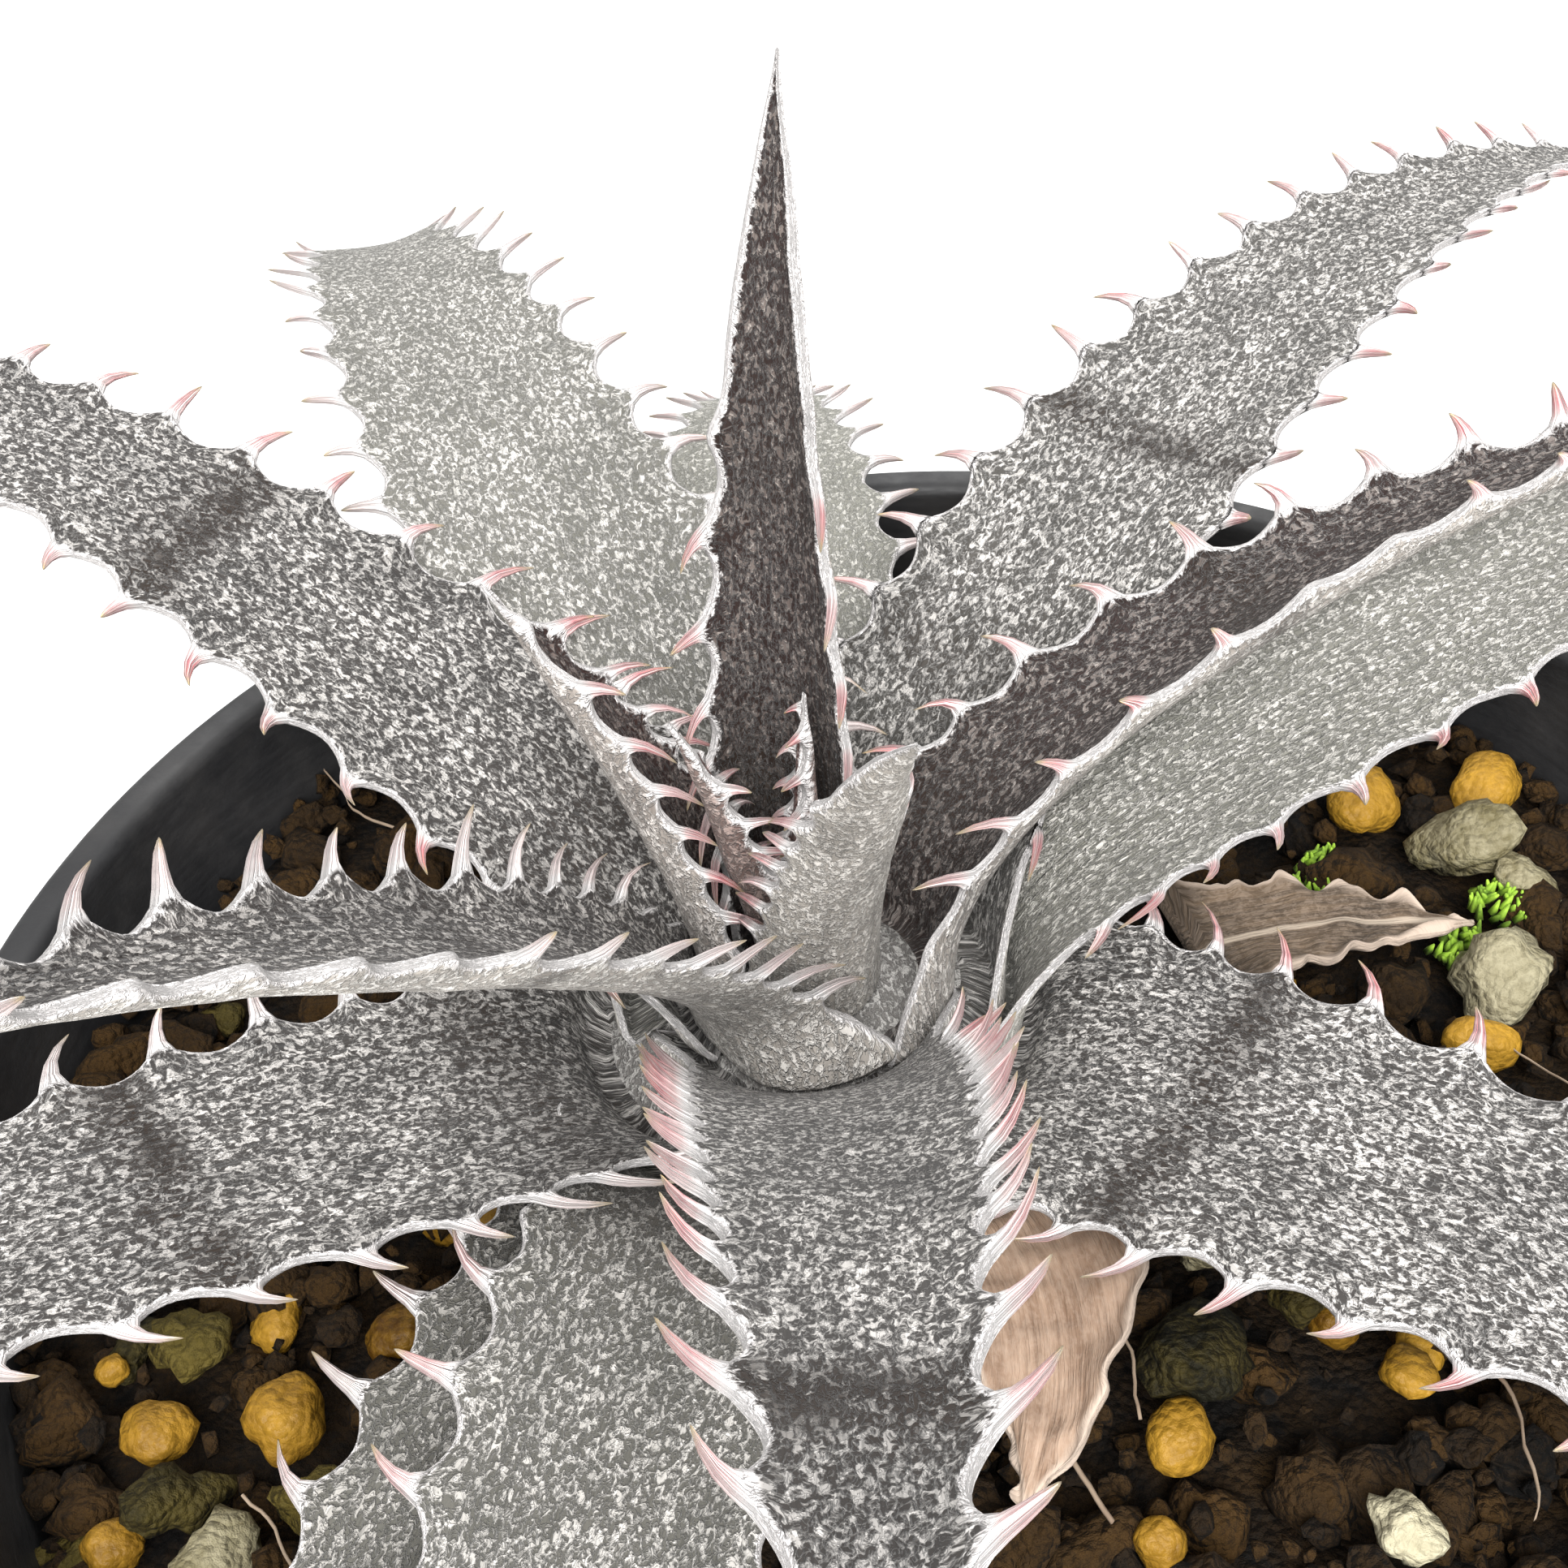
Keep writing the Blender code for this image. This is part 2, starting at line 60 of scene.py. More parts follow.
# Plant, as the solids have it
PLANT_X = -7.5 * MM
PLANT_Y = 7 * MM
CROWN_HEIGHT = RIM_HEIGHT + 1 * MM
CROWN_SLOPE = 0.3
CROWN_SUNK = 0.5 * MM
SHEATH_ANGLE = 88
BEND_POWER = 1.3
TAPER_POWER = 1.9
WIDEST_WRAP = 1.9
TIGHTEST_CURL = 2.5
SHEATH_SPREAD = 1.2
SHEATH_CLASP = 1.5
SHEATH_BREADTH = (0.95, 3.5)
SHEATH_NARROWING = 2.6
# Thick outer faces low on a sheath: how thick, and on which side of the midrib
SHEATH_FLESH = {"leaf_left_channelled": (2.5, -1)}
FLESH_REACH = 4
LEAF_THICKNESS = (1.0, 2.2, 0.7)
DRY_THICKNESS = (0.9, 0.9, 0.7)
MARGIN_THICKNESS = 0.7
FLESHIEST = 0.5
TIP_HALF_WIDTH = 0.15
TIP_THINNING = 0.3
COURSE_STEPS = 400

# Leaves: driving sizes in millimetres and degrees, then how far the crowded spines reach, how dark the
# upper face is drawn with its pale scales thinned (partly a barer skin, partly painted shade), how green
# and how red the skin is, and the dark cross bands as places along the leaf, widths and strengths. On a
# dead leaf, green marks the one that has fallen.
Leaf = namedtuple("Leaf", "name sheath heading rise bend length width sweep twist cup rise_out "
                          "crowded bare green red bands")
LEAVES = (
    Leaf("heart_leaf_inner", 1.0, 110, 88, 2, 26, 3.6, 0, 0, 60, 12, 8, 0.6, 0, 1, ()),
    Leaf("heart_leaf_outer", 2.6, 290, 84, 14, 29, 6.5, 8, 5, 55, 14, 12, 0.6, 0, 1, ()),
    # Its first band, dark near the base, is painted shadow; its darkened upper face is partly painted
    # shade
    Leaf("leaf_back_upright", 4.4, 171, 86, 11, 68, 14, -19, 8, 58, 12, 16, 1, 0, 0.15,
         ((14, 8, 0.9), (40, 9, 0.3))),
    Leaf("leaf_young_front", 6, 21, 71, 24, 51, 10.5, -10, 6, 36, 14, 22, 0.35, 0.3, 0.15, ()),
    Leaf("leaf_young_left", 7.3, 254, 72, 9, 40, 12.5, 17, -7, 70, 12.5, 20, 0.9, 0, 0.3, ()),
    Leaf("leaf_left_channelled", 8.9, 318, 49, 13, 92, 16.3, 20, 11, 51, 7.7, 20, 0.3, 0, 0.05,
         ((38, 3, 0.6),)),
    Leaf("leaf_left_upper", 10.5, 238, 37, 49, 113, 21.5, -5, 2, 12, 5, 10, 0.2, 0, 0,
         ((51, 4, 1), (12, 7, 0.5))),
    Leaf("leaf_right_channelled", 11.9, 113, 28, 33, 86, 16, -11, 13, 70, 9, 10, 0.85, 0, 0.15,
         ((36, 4, 0.7), (8, 8, 0.5))),
    Leaf("leaf_front", 13, 3, 50, 33, 104, 19.2, -7, -2, 29, 3.2, 56, 0.1, 0, 0,
         ((72.5, 5, 1), (81, 9, 0.3))),
    Leaf("leaf_back_left", 14.4, 207, 30.5, 84, 140, 26, -17, 1, 17, 9, 12, 0.05, 0.5, 0, ()),
    Leaf("leaf_right_upper", 15.9, 139, 26, 50, 128, 23.5, -10, -4, 20, 10, 12, 0.1, 0.1, 0,
         ((43, 3, 0.9), (18, 6, 0.45))),
    Leaf("leaf_right", 17.3, 106, 20, 24, 122, 21, 4, 0, 20, 6, 14, 0.05, 0.7, 0, ()),
    Leaf("leaf_left_lower", 18.3, 302, 24, 28, 125, 23, 0, 0, 15, 5, 10, 0.15, 0, 0,
         ((36, 3.5, 1), (9, 6, 0.6))),
    Leaf("leaf_right_lower", 19.1, 55, 14, 33, 91, 28, -20, 11, 4, 3.6, 8, 0.1, 0, 0,
         ((15.5, 3.5, 0.9),)),
    Leaf("leaf_front_left", 20.7, 342, 10, 40, 118, 22.5, 11, 2, 10, 7, 8, 0.15, 0.35, 0,
         ((8, 7, 0.6),)),
    Leaf("leaf_front_left_low", 22.1, 332, 8, 25, 105, 20, 8, 0, 8, 5, 8, 0.3, 0.4, 0,
         ((10, 8, 0.6),)),
    Leaf("leaf_back_low", 22.7, 179, 16, 64, 95, 25, 0, 0, 12, 6, 8, 0, 1, 0, ()),
    Leaf("leaf_back_left_low", 23.9, 218, 7, 20, 68, 17, -1, 0, 12, 6, 8, 0.2, 0.5, 0, ()),
)
DRY_LEAVES = (
    Leaf("dry_leaf_hanging", 22.6, 29, 7, 8, 28, 19, -58, -10, 18, 2, 0, 0, 0, 0, ()),
    Leaf("dry_leaf_fallen", 34, 99, 1, 1, 22, 12, -22, 4, 25, 0.4, 0, 0, 1, 0, ()),
)
DRY_LEAF_LIFTS = {"dry_leaf_hanging": 0, "dry_leaf_fallen": 0.3 * MM}

# Spines and scalloped margins, in millimetres
PITCH_CROWDED = 4.2
PITCH_OPEN = 7.4
# Share of the length at which the spines end
LAST_SPINES = {"leaf_back_upright": 0.62, "leaf_young_front": 0.6, "leaf_young_left": 0.9,
               "heart_leaf_outer": 0.8}
LAST_SPINE = 0.96
# Margins that bear fewer and shorter spines: the size, and the share that grows
MARGIN_SPINES = {("leaf_right_channelled", 1): (0.6, 0.5), ("leaf_left_channelled", -1): (0.45, 0.4)}
PALE_SPINES = ("leaf_back_left", "leaf_back_low", "leaf_back_left_low", "leaf_left_channelled",
               "leaf_front_left_low", "leaf_left_lower")
PALE_BLUSH = 0.35
SPINE_VARIETY = (0.82, 1.15)
HOOK_VARIETY = (-0.2, 0.3)
# The least free share of a spine's length that is worth growing, and the clearance it then keeps
LEAST_ROOM = 0.5
SPINE_CLEARANCE = 0.85
OPENING_REACH = 16
ROWS_PER_SPINE = 6
SPINE_FULL_SIZE_WIDTH = 15
SPINE_LENGTH = 4.9
SPINE_TIP_LOSS = 0.45
SCALLOP_RISE = 0.19
SCALLOP_DIP = 0.07
HOOK_CROWDED = 0.6
HOOK_OPEN = 0.3
SPINE_LIFT = (-0.05, 0.35)
# Each step of a spine: how far out it lies, how wide and how thick it is there
SPINE_STEPS = ((0.2, 0.56, 1.0), (0.45, 0.4, 0.85), (0.74, 0.27, 0.6), (1.0, 0.06, 0.12))
FIRST_SPINE = 6

# Skin of a leaf: columns across half of a face, where the margin begins, and the width of its rim
ACROSS = (0, 0.28, 0.56, 0.8, 0.93, 1)
MARGIN_START = 0.7
MARGIN_SHARE = 0.3
RIM_WIDTH = 0.42
SCALLOP_ONSET = 8
SCALLOP_LAST = 0.88
SCALLOP_FADE = 0.12
# Ripples of a surface: how quick they are along and across the leaf, and how high in millimetres
LEAF_RIPPLES = ((0.06, 0.9, 0.5), (0.35, 2.5, 0.16))
RIPPLE_START = 10
RIPPLE_ONSET = 25
DRY_RIPPLES = ((0.13, 1.4, 2.2), (0.4, 3, 0.8))
DRY_TEARS = ((0.45, 3, 1.5), (1.3, 3, 0.7))
DRY_RIPPLE_ONSET = 6
DRY_ROWS = 40
# How far apart the patterns of a leaf's two faces and of two leaves are drawn
FACE_APART = 1.2
LEAF_APART = 900
BASE_REACH = 11
BAND_ONSET = 0.45
BAND_WANDER = 2
BAND_WAVES = 1.7

# Leaf colours: the skin between the scales and the scales, on upper faces, on darkened upper faces (partly
# barer skin, partly painted shade) and on under faces
SKIN_UPPER = (0.040, 0.036, 0.033, 1)
SKIN_BARE_SHADED = (0.010, 0.007, 0.006, 1)
SKIN_UNDER = (0.36, 0.33, 0.295, 1)
SCALES_UPPER = (0.80, 0.765, 0.725, 1)
SCALES_BARE_SHADED = (0.30, 0.27, 0.245, 1)
SCALES_UNDER = (0.97, 0.935, 0.88, 1)
# How far the darkened upper faces thin their pale flecks: partly a barer skin, partly painted shade
BARE_AND_SHADE_THINNING = 2.2
# Near the leaf bases: painted shade on upper faces low in the crown; the pale under colour is the collars'
# own
BASE_SHADE_UPPER = (0.035, 0.025, 0.018, 1)
BASE_UNDER = (0.80, 0.75, 0.68, 1)
GREY_GREEN = (0.41, 0.405, 0.345, 1)
HEART_DARK = (0.07, 0.02, 0.015, 1)
HEART_LIGHT = (0.30, 0.17, 0.14, 1)
BAND_BROWN = (0.018, 0.011, 0.007, 1)
RIM_WHITE = (0.80, 0.765, 0.75, 1)
FROST = (0.88, 0.83, 0.80, 1)
# Spine colours from root to tip
PINK_SPINE = ((0.0, RIM_WHITE), (0.2, (0.72, 0.42, 0.41, 1)), (0.45, (0.55, 0.13, 0.15, 1)),
              (0.78, (0.60, 0.20, 0.17, 1)), (0.96, (0.60, 0.42, 0.16, 1)))
CREAM_SPINE = ((0.0, RIM_WHITE), (0.7, (0.78, 0.70, 0.66, 1)), (0.96, (0.62, 0.46, 0.22, 1)))

# Pot
POT_FLOOR = 2.5 * MM
FLOOR_RADIUS = 50.8 * MM
WALL_RADIUS = 70.1 * MM
LIP_INNER = 72.4 * MM
LIP_OUTER = 73.6 * MM
LIP_ROUNDING = 1.4 * MM
BAND_DEPTH = 9 * MM
BAND_ROUNDING = 0.6 * MM
BAND_STEP = 71.6 * MM
FOOT_RADIUS = 50.2 * MM
FOOT_ROUNDING = 1.8 * MM
POT_SIDES = 160
DRAIN_HOLES = 6
DRAIN_CIRCLE = 36 * MM
DRAIN_RADIUS = 4 * MM
SHARPEST_SMOOTH = 35

# Soil
SOIL_TOP = RIM_HEIGHT - 10 * MM
SOIL_RADIUS = 70 * MM
BED_DEPTH = 4 * MM
BED_FLOOR = 2.8 * MM
BED_LUMPS = 1.3 * MM
# Grains that stand out, in millimetres: kind, place across and back, and size
Grain = namedtuple("Grain", "kind x y size")
MARKED_GRAINS = (
    Grain("ochre", 14.8, -30.1, 5.5), Grain("ochre", 12, -37.3, 3.6), Grain("ochre", 31.1, -27, 3.8),
    Grain("ochre", -46.6, -21.8, 6.7), Grain("ochre", -55.7, -22, 5.6), Grain("ochre", -39, -15.8, 4.9),
    Grain("ochre", 43.7, 29.2, 6.7), Grain("ochre", 54.7, 29.7, 6.1), Grain("ochre", 45, 0.7, 5.1),
    Grain("ochre", 27.3, -22.7, 3.8), Grain("ochre", -57.1, -30.3, 4.3),
    Grain("olive", 16.8, -23.8, 7.1), Grain("olive", -53.4, -27.5, 6.1), Grain("olive", -54.5, -14.7, 5.7),
    Grain("olive", 25.5, -20, 4.4), Grain("olive", -43.3, -28.6, 5),
    Grain("pale", 50.9, 22.4, 8.1), Grain("pale", 27.6, -37.9, 4.8), Grain("pale", 48.8, 7.5, 8.2),
    Grain("pale", -49.7, -32.2, 5.4),
)
MARKED_LIFT = 0.4 * MM
MOSS_PLACES = ((35, 19, 0), (39, 22, 0), (52, 16, 0), (47, 12, 0))
MOSS_TIPS = 46
MOSS_SPREAD = 2.6 * MM
ROOTLETS = 26
ROOTLET_STEPS = 14
ROOTLET_CLEARANCE = 26 * MM
STEM_CLEARANCE = 12 * MM
# Loose grains: finish, count, sizes and heights over the bed in millimetres, flatness, how lumpy
# they are, and how finely they are divided
Sort = namedtuple("Sort", "name look count size flatness lumps height detail")
SORTS = (
    Sort("fine_crumbs", "brown", 2600, (0.9, 2.6), (0.7, 1), 0.9, (-3.2, -0.3), 1),
    Sort("brown_grains", "brown", 600, (2.6, 6), (0.6, 0.95), 0.75, (-3.4, -0.3), 2),
    Sort("ochre_grains", "ochre", 34, (3, 6), (0.6, 0.9), 0.25, (-2.2, 0.3), 3),
    Sort("olive_grains", "olive", 40, (3, 6.5), (0.6, 0.95), 0.6, (-2.4, 0.1), 3),
    Sort("pale_grains", "pale", 16, (3.5, 6.5), (0.6, 0.9), 0.45, (-2.0, 0.3), 3),
)

# Studio: each light's place and width in metres, and its power in watts
LIGHTS = (("back_softbox", Vector((0.1, 0.75, 0.85)), 0.9, 7),
          ("front_fill", Vector((0, -0.7, 0.8)), 0.7, 24))
SKY_STRENGTH = 0.85
FLOOR_SIZE = 20


def smooth(value):
    value = min(max(value, 0), 1)
    return value * value * (3 - 2 * value)


def lerp(low, high, share):
    return low + (high - low) * share


def finish_piece(name, bm, look, replaced=(), subdivide=0):
    """Make a piece that rides with the pot, faces outwards and wears one material."""
    bmesh.ops.recalc_face_normals(bm, faces=bm.faces)
    mesh = bpy.data.meshes.new(name)
    bm.to_mesh(mesh)
    bm.free()
    mesh.shade_smooth()
    mesh.materials.append(look)
    piece = bpy.data.objects.new(name, mesh)
    bpy.context.scene.collection.objects.link(piece)
    if subdivide:
        rounded = piece.modifiers.new("rounded", "SUBSURF")
        rounded.levels = subdivide
        rounded.render_levels = subdivide
    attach(piece, "root")
    if replaced:
        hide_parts(*replaced)
    return piece


# Node helpers

def put(tree, kind, values=None, **settings):
    """Add a node, set its options, and give its inputs values or links."""
    made = tree.nodes.new(kind)
    for key, value in settings.items():
        setattr(made, key, value)
    for key, value in (values or {}).items():
        socket = made.inputs[key]
        if isinstance(value, bpy.types.NodeSocket):
            tree.links.new(value, socket)
        else:
            socket.default_value = value
    return made


def math_of(tree, operation, *values):
    return put(tree, "ShaderNodeMath", dict(enumerate(values)), operation=operation).outputs[0]


def mix_colour(tree, share, first, second, blend="MIX"):
    mixed = put(tree, "ShaderNodeMix", {0: share, 6: first, 7: second},
                data_type="RGBA", blend_type=blend)
    return mixed.outputs[2]


def remap(tree, value, low, high, to_low=0, to_high=1):
    return put(tree, "ShaderNodeMapRange", {"Value": value, "From Min": low, "From Max": high,
                                            "To Min": to_low, "To Max": to_high}).outputs[0]


def stretched(tree, place, scale):
    return put(tree, "ShaderNodeMapping", {"Vector": place, "Scale": scale}).outputs[0]


def noise_of(tree, place, scale, detail=3, roughness=0.55):
    return put(tree, "ShaderNodeTexNoise", {"Vector": place, "Scale": scale, "Detail": detail,
                                            "Roughness": roughness}).outputs["Fac"]


def attribute(tree, name, output="Fac"):
    return put(tree, "ShaderNodeAttribute", attribute_name=name).outputs[output]


def colour_ramp(tree, value, stops):
    ramp = put(tree, "ShaderNodeValToRGB", {"Fac": value})
    elements = ramp.color_ramp.elements
    elements[0].position, elements[0].color = stops[0]
    elements[1].position, elements[1].color = stops[-1]
    for position, colour in stops[1:-1]:
        elements.new(position).color = colour
    return ramp.outputs[0]


def new_material(name, roughness=0.8):
    made = bpy.data.materials.new(name)
    made.use_nodes = True
    shader = made.node_tree.nodes["Principled BSDF"]
    shader.inputs["Roughness"].default_value = roughness
    return made, made.node_tree, shader


def new_group(name, inputs, outputs):
    group = bpy.data.node_groups.new(name, "ShaderNodeTree")
    for label, kind in inputs:
        group.interface.new_socket(label, in_out="INPUT", socket_type=kind)
    for label, kind in outputs:
        group.interface.new_socket(label, in_out="OUTPUT", socket_type=kind)
    return group, group.nodes.new("NodeGroupInput"), group.nodes.new("NodeGroupOutput")


def use_group(tree, group, values):
    made = tree.nodes.new("ShaderNodeGroup")
    made.node_tree = group
    for key, value in values.items():
        if isinstance(value, bpy.types.NodeSocket):
            tree.links.new(value, made.inputs[key])
        else:
            made.inputs[key].default_value = value
    return made


def make_scale_grain():
    """Silvery scales on a leaf: pale flecks, the gaps between them, and broad worn patches."""
    group, given, result = new_group(
        "leaf_scales", [("Place", "NodeSocketVector")],
        [("Fleck", "NodeSocketFloat"), ("Mottle", "NodeSocketFloat"), ("Streak", "NodeSocketFloat")])
    place = given.outputs["Place"]
    cells = stretched(group, place, (1, 0.62, 1))
    fine = put(group, "ShaderNodeTexNoise", {"Vector": cells, "Scale": 2.3, "Detail": 3.0,
                                             "Roughness": 0.6, "Distortion": 0.7}).outputs["Fac"]
    wavy = put(group, "ShaderNodeTexNoise", {"Vector": cells, "Scale": 2.1, "Detail": 2,
                                             "Distortion": 0.9}).outputs["Fac"]
    ridged = math_of(group, "ABSOLUTE", math_of(group, "SUBTRACT", wavy, 0.5))
    threads = remap(group, ridged, 0.0, 0.055, 1, 0)
    grains = remap(group, fine, 0.46, 0.57)
    fleck = math_of(group, "ADD", math_of(group, "MULTIPLY", threads, 0.42),
                    math_of(group, "MULTIPLY", grains, 0.68))
    patches = noise_of(group, stretched(group, place, (1, 0.5, 1)), 0.24, 3, 0.62)
    streaks = noise_of(group, stretched(group, place, (1, 0.04, 1)), 1.5, 2, 0.6)
    group.links.new(fleck, result.inputs["Fleck"])
    group.links.new(remap(group, patches, 0.3, 0.7), result.inputs["Mottle"])
    group.links.new(remap(group, streaks, 0.3, 0.7), result.inputs["Streak"])
    return group


def make_settled_dust():
    """Pale dust that gathers in a broad soft pattern over a surface."""
    group, given, result = new_group("settled_dust", [("Place", "NodeSocketVector"),
                                                      ("Scale", "NodeSocketFloat")],
                                     [("Dust", "NodeSocketFloat")])
    cloud = noise_of(group, given.outputs["Place"], given.outputs["Scale"], 6, 0.65)
    group.links.new(remap(group, cloud, 0.45, 0.75), result.inputs["Dust"])
    return group


def blade_colour(tree, fleck, mottle, streak):
    """Scales over dark skin, darker and thinner on some upper faces (partly barer skin, partly painted
    shade), worn in patches, with painted shade on upper faces near the base, reddish on the heart leaves
    and browned in bands.
    """
    # Darkened upper faces with thinned pale scales: partly a barer skin, partly painted shade
    bare = attribute(tree, "bare")
    under = attribute(tree, "under")
    gap = mix_colour(tree, under, mix_colour(tree, bare, SKIN_UPPER, SKIN_BARE_SHADED), SKIN_UNDER)
    scale = mix_colour(tree, under, mix_colour(tree, bare, SCALES_UPPER, SCALES_BARE_SHADED), SCALES_UNDER)
    thinned = math_of(tree, "POWER", fleck, math_of(tree, "MULTIPLY_ADD", bare, BARE_AND_SHADE_THINNING, 1.0))
    skin = mix_colour(tree, thinned, gap, scale)
    # Near the base: painted shade on upper faces, and the pale collar colour on under faces
    base_shade_and_collar = mix_colour(tree, under, BASE_SHADE_UPPER, BASE_UNDER)
    skin = mix_colour(tree, math_of(tree, "MULTIPLY", attribute(tree, "base"), 0.12), skin, base_shade_and_collar)
    worn = math_of(tree, "ADD", remap(tree, mottle, 0, 1, 0.66, 1.3),
                   remap(tree, streak, 0, 1, -0.14, 0.14))
    skin = mix_colour(tree, 1.0, skin, worn, "MULTIPLY")
    green = math_of(tree, "MULTIPLY", attribute(tree, "green"), 0.5)
    skin = mix_colour(tree, green, skin, GREY_GREEN)
    reddish = mix_colour(tree, fleck, HEART_DARK, HEART_LIGHT)
    skin = mix_colour(tree, math_of(tree, "MULTIPLY", attribute(tree, "red"), 0.75), skin, reddish)
    stain = math_of(tree, "SUBTRACT", mottle, math_of(tree, "MULTIPLY", fleck, 0.45))
    band = math_of(tree, "MULTIPLY", attribute(tree, "band"), remap(tree, stain, -0.3, 0.35))
    # Brown cross bands; on leaf_back_upright the band near the base is painted shadow
    skin = mix_colour(tree, band, skin, BAND_BROWN)
    ragged = math_of(tree, "ADD", attribute(tree, "edge"), remap(tree, fleck, 0, 1, 0.22, -0.12))
    return mix_colour(tree, remap(tree, ragged, RIM_WIDTH, RIM_WIDTH * 0.5), skin, RIM_WHITE)


def spine_colour(tree, spine):
    """Pink or cream spines under a broken white frosting."""
    horny = mix_colour(tree, attribute(tree, "blush"), colour_ramp(tree, spine, CREAM_SPINE),
                       colour_ramp(tree, spine, PINK_SPINE))
    frosting = noise_of(tree, attribute(tree, "grain", "Vector"), 4.5, 3, 0.7)
    return mix_colour(tree, remap(tree, frosting, 0.45, 0.6, 0, 0.7), horny, FROST)


def make_leaf_skin(scales):
    """Grey scaly skin with dark bands, pale margins and pink spines with horny tips."""
    made, tree, shader = new_material("leaf_skin", 0.72)
    grain = use_group(tree, scales, {"Place": attribute(tree, "grain", "Vector")})
    fleck, mottle, streak = (grain.outputs[name] for name in ("Fleck", "Mottle", "Streak"))
    spine = attribute(tree, "spine")
    skin = mix_colour(tree, remap(tree, spine, 0.0, 0.12),
                      blade_colour(tree, fleck, mottle, streak), spine_colour(tree, spine))
    tree.links.new(skin, shader.inputs["Base Color"])
    height = math_of(tree, "ADD", fleck, math_of(tree, "MULTIPLY", streak, 0.8))
    bump = put(tree, "ShaderNodeBump", {"Height": height, "Strength": 1.0, "Distance": 0.4 * MM})
    tree.links.new(bump.outputs[0], shader.inputs["Normal"])
    shader.inputs["Sheen Weight"].default_value = 0.12
    shader.inputs["Sheen Roughness"].default_value = 0.4
    shader.inputs["Specular IOR Level"].default_value = 0.25
    return made


def make_dry_skin(scales):
    """Papery tan skin of a dead leaf, paler along its margin and, where it is flagged, its midrib."""
    made, tree, shader = new_material("dry_leaf_skin", 0.85)
    place = attribute(tree, "grain", "Vector")
    grain = use_group(tree, scales, {"Place": place})
    veins = noise_of(tree, stretched(tree, place, (1.6, 0.12, 1)), 1.1, 4, 0.65)
    blotch = noise_of(tree, place, 0.16, 3, 0.6)
    fallen = attribute(tree, "green")
    dark = mix_colour(tree, fallen, (0.17, 0.10, 0.06, 1), (0.030, 0.020, 0.012, 1))
    light = mix_colour(tree, fallen, (0.40, 0.28, 0.20, 1), (0.145, 0.098, 0.060, 1))
    tone = math_of(tree, "ADD", math_of(tree, "MULTIPLY", veins, 0.6),
                   math_of(tree, "MULTIPLY", blotch, 0.6))
    skin = mix_colour(tree, remap(tree, tone, 0.45, 0.75), dark, light)
    skin = mix_colour(tree, math_of(tree, "MULTIPLY", grain.outputs["Fleck"], 0.25), skin,
                      (0.42, 0.33, 0.26, 1))
    skin = mix_colour(tree, remap(tree, attribute(tree, "edge"), 0.7, 0.1), skin,
                      (0.44, 0.35, 0.28, 1))
    across = put(tree, "ShaderNodeSeparateXYZ", {"Vector": place}).outputs["X"]
    midrib = remap(tree, math_of(tree, "ABSOLUTE", across), 0.45, 0.2)
    skin = mix_colour(tree, math_of(tree, "MULTIPLY", midrib, fallen), skin, (0.38, 0.31, 0.24, 1))
    tree.links.new(skin, shader.inputs["Base Color"])
    bump = put(tree, "ShaderNodeBump", {"Height": tone, "Strength": 0.9, "Distance": 0.0008})
    tree.links.new(bump.outputs[0], shader.inputs["Normal"])
    return made


def make_grain_material(name, dark, light, roughness, relief):
    """Porous crumbly grains that differ in tone from one to the next."""
    made, tree, shader = new_material(name, roughness)
    place = put(tree, "ShaderNodeTexCoord").outputs["Object"]
    tone = attribute(tree, "tone")
    pores = noise_of(tree, place, 1100, 4, 0.7)
    crumbs = put(tree, "ShaderNodeTexVoronoi", {"Vector": place, "Scale": 1400.0}).outputs["Distance"]
    blotch = noise_of(tree, place, 260, 3, 0.6)
    shade = math_of(tree, "ADD", math_of(tree, "MULTIPLY", tone, 0.45),
                    math_of(tree, "MULTIPLY", pores, 0.45))
    shade = math_of(tree, "ADD", shade, math_of(tree, "MULTIPLY", blotch, 0.5))
    skin = mix_colour(tree, remap(tree, shade, 0.4, 0.95), dark, light)
    tree.links.new(skin, shader.inputs["Base Color"])
    height = math_of(tree, "ADD", pores, math_of(tree, "MULTIPLY", crumbs, -0.8))
    bump = put(tree, "ShaderNodeBump", {"Height": height, "Strength": relief, "Distance": 0.0009})
    tree.links.new(bump.outputs[0], shader.inputs["Normal"])
    shader.inputs["Specular IOR Level"].default_value = 0.22
    return made


def make_crown_bark(scales):
    """Dull bark low on the stem, and pale tissue between the leaf bases on the crown."""
    made, tree, shader = new_material("stem_bark", 0.85)
    place = put(tree, "ShaderNodeTexCoord").outputs["Object"]
    flecks = use_group(tree, scales, {"Place": stretched(tree, place, (1000, 1000, 1000))})
    fleck = flecks.outputs["Fleck"]
    fibres = noise_of(tree, stretched(tree, place, (1, 1, 0.25)), 900, 4, 0.65)
    bark = mix_colour(tree, fibres, (0.03, 0.018, 0.012, 1), (0.16, 0.10, 0.07, 1))
    tissue = mix_colour(tree, fleck, (0.16, 0.15, 0.14, 1), (0.58, 0.56, 0.53, 1))
    height = put(tree, "ShaderNodeSeparateXYZ", {"Vector": place}).outputs["Z"]
    upper = remap(tree, height, SOIL_TOP + 2 * MM, SOIL_TOP + 3.5 * MM)
    tree.links.new(mix_colour(tree, upper, bark, tissue), shader.inputs["Base Color"])
    bump = put(tree, "ShaderNodeBump", {"Height": fleck, "Strength": 0.8, "Distance": 0.0004})
    tree.links.new(bump.outputs[0], shader.inputs["Normal"])
    return made


